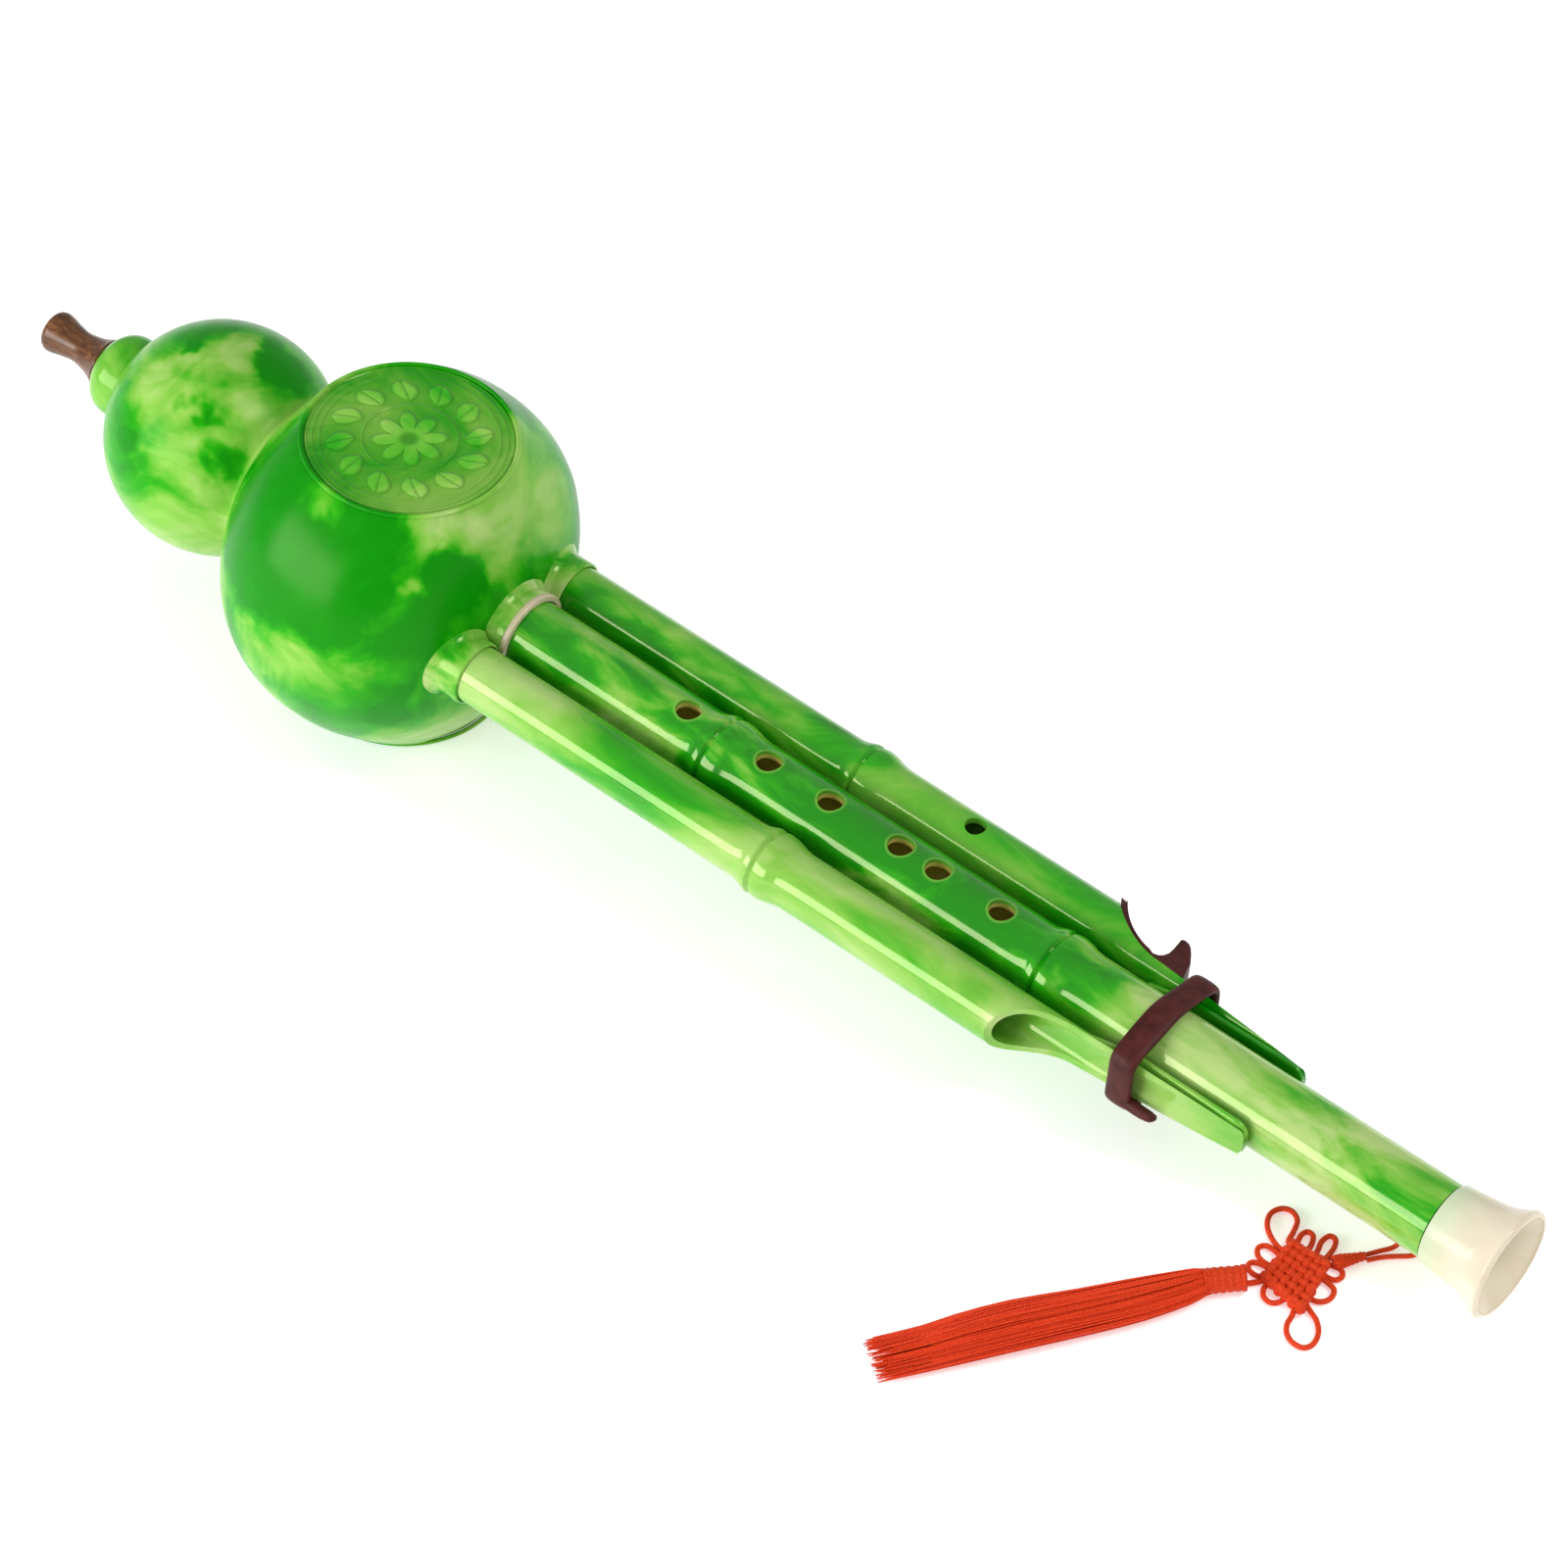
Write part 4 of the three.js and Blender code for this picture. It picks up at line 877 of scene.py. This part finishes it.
def make_stopper(look):
    """A strap on the scoop, a finger tab that leans back, and a core in the trough."""
    seat, strap, strap_end, tab_start = FIT_GAP - TROUGH_DEPTH, 1.5, 328.4, 327
    over = [place for place in scoop_curve(FIT_GAP + strap) if place[0] < strap_end]
    tab = [(337.6, seat), (337.7, -2.9), (336.9, -0.6), (336, 2.2), (334.2, 5), (332.8, 6.8), (331.8, 7.6),
           (330.4, 7.9), (329.6, 7.5), (329.8, 6), (330.3, 3.4), (330.5, 1.2), (330.1, -0.4), (329.3, -1.4)]
    outline = scoop_curve(FIT_GAP) + tab + over[::-1]
    layers = (-5.3, -5.15, -4.6, 4.6, 5.15, 5.3)
    verts = []
    for z in layers:
        for x, out in outline:
            narrow = 1 - 0.45 * max(0, min(1, (out - seat) / 10)) * (x > tab_start)
            limit = sqrt(max(0, (DRONE_RADIUS + 1.4) ** 2 - out ** 2))
            verts.append((x, PIPE_PITCH + out, max(-limit, min(limit, z * narrow))))
    shape = verts, skin(len(layers), len(outline))
    piece = make_piece("stopper_tab", shape, look, "dark_rubber", "stopper", "drone_stopper", sharp=60)
    bevel = piece.modifiers.new("soft_edges", "BEVEL")
    bevel.width = 0.3 * MM
    bevel.segments = 3
    bevel.limit_method = "ANGLE"
    bevel.angle_limit = radians(50)
    core = [(317, -4.1), (330.5, -4.1), (331, -3), (324, -1.4), (320.4, 0.7), (317, 3)]
    core = prism(core, -3.2, 3.2, lambda x, out, z: (x, PIPE_PITCH + out, z))
    make_piece("stopper_core", core, look, "dark_rubber", "stopper")


# The cord, the knot and the tassel, in the frame's own millimetres

CORD_RADIUS = 0.58
CORD_PATH = [
    (185.67, -7.51, 0.65), (186.75, -5.72, 0.65), (187.85, -3.95, 0.65), (188.92, -2.35, 0.65),
    (189.64, -1.17, 1.02), (190.16, -0.31, 2.03), (190.36, 0, 3.4), (190.49, 0, 5), (190.62, 0, 6.61),
    (190.72, 0, 7.8), (190.82, 0, 9), (191.09, 0, 9.93), (191.7, 0, 10.7), (192.55, 0, 11.17),
    (193.52, 0, 11.28), (194.46, 0, 11.01), (195.22, 0, 10.4), (195.69, 0, 9.54), (195.8, 0, 8.58),
    (195.7, 0, 7.38), (195.6, 0, 6.18), (195.5, 0, 4.7), (195.4, 0, 3.3), (195.12, -0.22, 1.98),
    (194.37, -0.82, 1), (193.33, -1.64, 0.65), (191.7, -3.05, 0.65), (189.85, -4.75, 0.65),
    (188.35, -6.45, 0.65), (186.97, -8.39, 0.65),
]
BRAID_PLACES = [(186.15, -8.2), (184.6, -10.5), (183.2, -12.5), (182.1, -14.3)]
TASSEL_CORD = [(172.7, -28.1, 0.9), (171.2, -29.95, 0.75), (169.8, -31.7, 1.2), (167.4, -34.4, 2.4)]
LINK_RADIUS = 0.7
HEAD_PLACES = [(170.3, -31.4), (169.8, -31.9), (167.4, -34.4), (164.9, -37), (163.5, -38.6)]
SKIRT_PLACES = [(164.4, -37.5), (163.1, -39.1), (161.3, -42.9), (155.7, -52), (148.6, -62.2), (139.7, -74.2),
                (132.5, -84.7), (128.3, -91.2), (120.4, -102.6)]
SKIRT_WIDTHS = [2.9, 3.6, 4.7, 5.9, 6.4, 7, 6.8, 6.4, 6.4]
SKIRT_HEIGHTS = [2.9, 3, 3.2, 3.3, 3.3, 3.2, 2.9, 2.6, 2.3]
KNOT_CORNERS = [(172, -28.4), (170.9, -15), (181.8, -15.2), (185.5, -31.6)]
KNOT_LOOPS = [
    [(173, -19), (168.4, -17.4), (165, -15.4), (162.9, -13), (162.1, -10.3), (163.2, -7.8), (165.5, -7.1),
     (168, -8.6), (169.3, -11.9), (170.2, -15), (173, -16.8)],
    [(182.4, -29.6), (183.6, -32.2), (184.2, -34.9), (185.7, -37.2), (188.2, -38.6), (191, -38.4),
     (192.1, -36.2), (191.2, -32.9), (188.8, -30.2), (186.2, -28.8), (183.4, -27.6)],
    [(172.9, -16.6), (171.9, -14), (171.2, -11.6), (171.8, -9.9), (173.5, -10.2),
     (174.8, -12.9), (175.4, -16.2)],
    [(177.3, -16.4), (176.9, -13.4), (175.9, -10.3), (176.3, -7.9), (178, -7.9),
     (179.3, -10.7), (179.9, -16.2)],
    [(173.6, -20.8), (169.2, -19.1), (166.9, -19.2), (166, -20.8), (167.5, -22.8),
     (170.3, -23.5), (173.6, -23.4)],
    [(173.4, -24.6), (169, -24.4), (167.2, -25.6), (168.3, -27.4), (170.8, -27.7), (173.6, -26.8)],
    [(174.4, -26.9), (174, -29.4), (175.4, -31.7), (177.7, -32.2), (179.2, -30.6), (179.6, -27.4)],
    [(181.2, -19.6), (184.8, -19.6), (186.7, -20.6), (187.3, -23), (186.2, -25),
     (184.2, -25.7), (181.6, -25.2)],
    [(179.6, -16.4), (182, -14.7), (184.2, -14.5), (185.5, -15.9), (185.1, -17.6),
     (183.4, -18.2), (180.6, -18.2)],
]
LOOP_RADIUS = 0.65
THREADS = 360


def ways(run):
    """The direction of the run at each of its places."""
    last = len(run) - 1
    return [(run[min(i + 1, last)] - run[max(i - 1, 0)]).normalized() for i in range(len(run))]


def tube_mesh(points, radii, sides, per_stretch):
    """A closed round tube through the points; radii are given at the points."""
    run = smooth(points, per_stretch)
    sizes = np.interp(np.linspace(0, len(points) - 1, len(run)), range(len(points)), radii)
    verts = []
    normal = (run[1] - run[0]).orthogonal()
    for place, way, size in zip(run, ways(run), sizes):
        normal = (normal - way * normal.dot(way)).normalized()
        across = way.cross(normal)
        verts += [place + (normal * cos(angle) + across * sin(angle)) * size for angle in turns(sides)]
    return verts, skin(len(run), sides)


def on_main(name, shape, look, *nodes):
    """A piece of cord that lies on the floor and rides on the main pipe."""
    return make_piece(name, shape, look, "red_cord", "main_pipe", *nodes, lay=ON_FLOOR)


def declare_cord(name, places, radius, look, node):
    """A round cord through the places, riding on the main pipe."""
    cord = on_main(name, tube_mesh(places, [radius] * len(places), 12, 6), look, node)
    run = smooth(places, 6)


def skirt_places(lift=0):
    """The middle line of the tassel's threads."""
    return [Vector((x, y, height + lift)) for (x, y), height in zip(SKIRT_PLACES, SKIRT_HEIGHTS)]


def make_tassel_cord(look):
    """The cord that hangs the tassel on the knot runs on through its head and its threads."""
    places = smooth([*TASSEL_CORD, *skirt_places()[1:7]], 2)
    declare_cord("tassel_cord", places, LINK_RADIUS, look, "knot_tail")


def make_braid(look):
    """Three strands plaited towards the knot, wider there."""
    run = smooth([(x, y, 1.3) for x, y in BRAID_PLACES], 24)
    across = Vector((0, 0, 1)).cross((run[-1] - run[0]).normalized())
    plies = []
    for phase in turns(3):
        ply = []
        for place, t in zip(run, np.linspace(0, 1, len(run))):
            turn = 2 * pi * 2.5 * t + phase
            width = 0.35 + 0.95 * min(1, 1.4 * t)
            lift = 0.42 * sin(2 * turn) + 0.05
            ply.append(place + across * width * sin(turn) + Vector((0, 0, lift)))
        plies.append(tube_mesh(ply, np.linspace(0.55, 0.72, len(ply)), 10, 1))
    return on_main("plait", joined(plies), look, "cord_braid")


def knot_place(a, b):
    """A place in the knot's body from two shares along its sides."""
    left, top, right, bottom = (np.array(corner) for corner in KNOT_CORNERS)
    return (1 - a) * ((1 - b) * left + b * top) + a * ((1 - b) * bottom + b * right)


def woven_line(k, count, crosses):
    """One of the knot's crossing cords, over and under the others."""
    mid, wave, side = 1.75, 0.62, (k + 0.5) / count
    line = []
    for t in np.linspace(0, 1, count * 8 + 1):
        x, y = knot_place(side, t) if crosses else knot_place(t, side)
        up = sin(pi * (count * t + k + crosses))
        edge = min(1, 8 * min(t, 1 - t))
        line.append((x, y, mid + wave * up * edge))
    return line


def make_knot(look):
    """A woven body of crossing cords, with its ears and loops."""
    count, thick, loop_lift, end_lift = 6, 1.02, 0.72, 0.6
    lines = [woven_line(k, count, crosses) for crosses in (False, True) for k in range(count)]
    tubes = [tube_mesh(line, [thick] * len(line), 10, 1) for line in lines]
    for loop in KNOT_LOOPS:
        places = [(x, y, loop_lift) for x, y in loop]
        for end in (0, -1):
            places[end] = (*loop[end], loop_lift + end_lift)
        tubes.append(tube_mesh(places, [LOOP_RADIUS] * len(places), 12, 6))
    return on_main("woven_knot", joined(tubes), look, "knot")


def make_head(look):
    """The tassel's head, wound with thread."""
    run = smooth([(x, y, 3.1) for x, y in HEAD_PLACES], 12)
    radii = []
    for t in np.linspace(0, 1, len(run)):
        knob = exp(-((t - 0.16) / 0.12) ** 2)
        body = 2.85 * min(1, 0.3 + 7 * t) + 0.3 * knob + 0.15 * t
        radii.append(min(3.05, body) + 0.12 * sin(2 * pi * 9 * t))
    return on_main("wound_head", tube_mesh(run, radii, 40, 1), look, "tassel_head")


def make_thread(middles, sides):
    """One thread from the head to its cut end, from random draws."""
    angle = 2 * pi * random.randrange(17) / 17 + random.gauss(0, 0.11)
    reach = random.uniform(0.6, 1) - 0.6 * random.random() ** 6
    end = random.uniform(0.93, 1.0) if random.random() > 0.15 else random.uniform(0.8, 0.95)
    drift = random.uniform(-0.35, 0.35)
    line = []
    for i, turn in enumerate(np.linspace(angle, angle + drift, len(middles))):
        wide = SKIRT_WIDTHS[i] * reach + random.uniform(-0.12, 0.12)
        tall = (SKIRT_HEIGHTS[i] * reach - 0.25) * sin(turn)
        line.append(middles[i] + sides[i] * wide * cos(turn) + Vector((0, 0, tall)))
    line[-1] = line[-2].lerp(line[-1], max(0.1, 1 - (1 - end) * 6))
    return tube_mesh(line, [0.2] * (len(line) - 1) + [0.13], 5, 2)


def shaded_skirt_core(middles, sides):
    """A dark mass under the threads: painted shade for the shaded inside of the tassel."""
    spokes, share = 20, 0.72
    verts = []
    for i, place in enumerate(middles[:-1]):
        for angle in turns(spokes):
            lift = Vector((0, 0, SKIRT_HEIGHTS[i] * share * sin(angle)))
            verts.append(place + sides[i] * SKIRT_WIDTHS[i] * share * cos(angle) + lift)
    return verts, skin(len(middles) - 1, spokes)


def make_skirt(look, shade_core_look):
    """Fine threads, cut off ragged, over a darker core that is painted shade."""
    random.seed(11)
    middles = skirt_places(0.05)
    sides = [Vector((-way.y, way.x, 0)).normalized() for way in ways(middles)]
    threads = joined(make_thread(middles, sides) for _ in range(THREADS))
    threads = on_main("tassel_threads", threads, look, "tassel_skirt")
    core = on_main("tassel_core_painted_shade", shaded_skirt_core(middles, sides), shade_core_look)
    return threads, core


# Cords first, then the rest

red = silk_cord("red_silk")
plait = make_braid(red)
knot = make_knot(red)
head = make_head(silk_cord("red_thread", scale=6))
# The core's deep red, from a low dark setting, is painted shade.
threads, core = make_skirt(silk_cord("red_floss", scale=0.8, dark=0.8), silk_cord("red_core_painted_shade", dark=0.25))
declare_cord("cord_loop", CORD_PATH, CORD_RADIUS, red, "hanging_cord")
make_tassel_cord(red)

GOURD_SPOTS_AND_HIGHLIGHTS = (
    (94, -27, 31, 25, -0.2), (106, -39, 20, 20, -0.18), (125, -36, 26, 20, -0.2),
    (127, -23, 38, 14, -0.15), (147, -18, 27, 15, -0.24), (146, -1, 35, 11, 0.08),
    (150, 17, 22, 18, 0.07), (116, -46, 0, 17, 0.05), (140, -38, 4, 17, 0.05),
    # The last two spots on the next line are painted highlights, where the near light reflects below the
    # front medallion.
    (134, -36, -16, 18, 0.05), (115, -39, 22, 7, 0.17), (139, -30, 26, 7, 0.17),
    (61, -2, 29, 15, 0.15), (50, -15, 24, 13, 0.15), (66, -23, 14, 15, 0.15),
    (69, 10, 24, 12, -0.2), (48, -26, 10, 9, -0.1), (73, -18, 16, 8, -0.14),
    (47, -4, 27, 6, -0.14), (60, -13, 26, 6, -0.14),
)
gourd_jade = jade("gourd_jade", (1, 1, 1), (13, 4, 7), 0.03, spots=GOURD_SPOTS_AND_HIGHLIGHTS, spread=0.8,
                  gloss=(0.22, 0.3), shine=0.16)
make_gourd(gourd_jade)
make_collar(jade("collar_jade", (1, 1, 1), (3, 9, 2), 0.05, pale=0.49, spread=0.35))
medal_jade = jade("medallion_jade", (1, 1, 1), (5, 2, 1), 0.03, pale=0.48, spread=0.6, grain=0.2,
                  relief=(DISC_TOP - 0.33, DISC_TOP - 0.02))
make_medallion("front_medallion", 1, medal_jade, "medallion_front")
make_medallion("back_medallion", -1, medal_jade, "medallion_back")
make_rim("front_rim", 1, 0.6, gourd_jade)
make_rim("back_rim", -1, 0.36, gourd_jade)
make_mouthpiece(lacquered_wood())
make_sockets(jade("socket_jade", (0.6, 1, 1), (8, 1, 4), 0.07, pale=0.6),
             plain_plastic("socket_pale", (0.5, 0.48, 0.27), (0.62, 0.5, 0.36), 0.25))

PIPE_LOOK = {"grain": 0.25, "gloss": (0.06, 0.14), "shine": 0.7}
MAIN_SPOTS_AND_HIGHLIGHTS = (
    (172, -4, 8, 34, 0.05), (235, 3, 9, 45, -0.05), (290, 2, 9, 40, -0.05),
    (350, -4, 8, 24, 0.1), (376, -3, 9, 10, -0.04), (385, -8, 5, 60, 0.09),
    # The last two spots on the next line are painted highlights on the node swellings.
    (412, -4, 8, 22, 0.07), (218, -7, 7, 6, 0.1), (317, -7, 7, 6, 0.1),
)
make_main_pipe(jade("main_jade", (0.4, 1, 1), (31, 5, 9), 0.06, pale=0.49, spots=MAIN_SPOTS_AND_HIGHLIGHTS,
                    holes=FINGER_HOLES, bore=MAIN_BORE, **PIPE_LOOK))
NEAR_SPOTS = (
    (172, -20, 6, 22, 0.05), (212, -20, 6, 26, -0.05), (286, -20, 6, 28, 0.04),
    (322, -22, 0, 14, 0.13), (352, -13, 0, 24, 0.08),
)
near_jade = jade("near_jade", (0.35, 1, 1), (51, 15, 3), 0.06, pale=0.555, spots=NEAR_SPOTS, spread=0.5,
                 **PIPE_LOOK)
far_jade = jade("far_jade", (0.35, 1, 1), (71, 25, 13), 0.06, pale=0.49, spread=0.8, **PIPE_LOOK)
make_drone("near_tube", -1, False, near_jade, "near_drone_pipe", "near_drone")
make_drone("far_tube", 1, True, far_jade, "far_drone_pipe", "far_drone")
make_bell(bell_plastic())
rubber = dark_rubber("maroon_rubber")
make_band(rubber)
make_stopper(rubber)

hidden_looks = {
    "seal": rubber,
    "end_plug": plain_plastic("plug_cream", (0.6, 0.55, 0.4), (0.7, 0.66, 0.5), 0.4),
    "reed_plate": brass(),
    "reed_tongue": brass(),
}
for prefix in ("main", "near_drone", "far_drone"):
    for part, look in hidden_looks.items():
        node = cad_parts[f"{prefix}_{part}"]
        node.data.materials.clear()
        node.data.materials.append(look)


# Floor and light

def make_floor():
    """A wide white floor just under the flute, with a faint glow of its own."""
    half, drop = 6, 0.2 * MM
    mesh = bpy.data.meshes.new("floor")
    corners = [(-half, -half, 0), (half, -half, 0), (half, half, 0), (-half, half, 0)]
    mesh.from_pydata(corners, [], [(0, 1, 2, 3)])
    floor = link("floor", mesh)
    floor.location.z = -drop
    shade = Shade("floor_white")
    shade.set(Base_Color=(0.9, 0.9, 0.9), Roughness=0.9, Specular_IOR_Level=0.1, Emission_Color=(1, 1, 1),
              Emission_Strength=0.4)
    mesh.materials.append(shade.material)


def area_light(name, place, target, size, power):
    data = bpy.data.lights.new(name, "AREA")
    data.shape = "RECTANGLE"
    data.size, data.size_y = size
    data.energy = power
    light = link(name, data)
    light.location = place
    light.rotation_euler = (Vector(target) - Vector(place)).to_track_quat("-Z", "Y").to_euler()


def make_lights():
    """An even white surround, a large light on the near side and a small one from the right."""
    world = bpy.data.worlds.new("studio")
    world.use_nodes = True
    background = world.node_tree.nodes["Background"]
    background.inputs["Color"].default_value = (1, 1, 1, 1)
    background.inputs["Strength"].default_value = 0.53
    scene.world = world
    area_light("side_box", (-0.43, -0.93, 0.36), (0.03, 0, 0.03), (1.0, 0.5), 11)
    area_light("top_box", (0.82, 0.3, 1.1), (0, 0, 0), (0.35, 0.5), 7)


make_floor()
make_lights()
scene.view_settings.view_transform = "Standard"
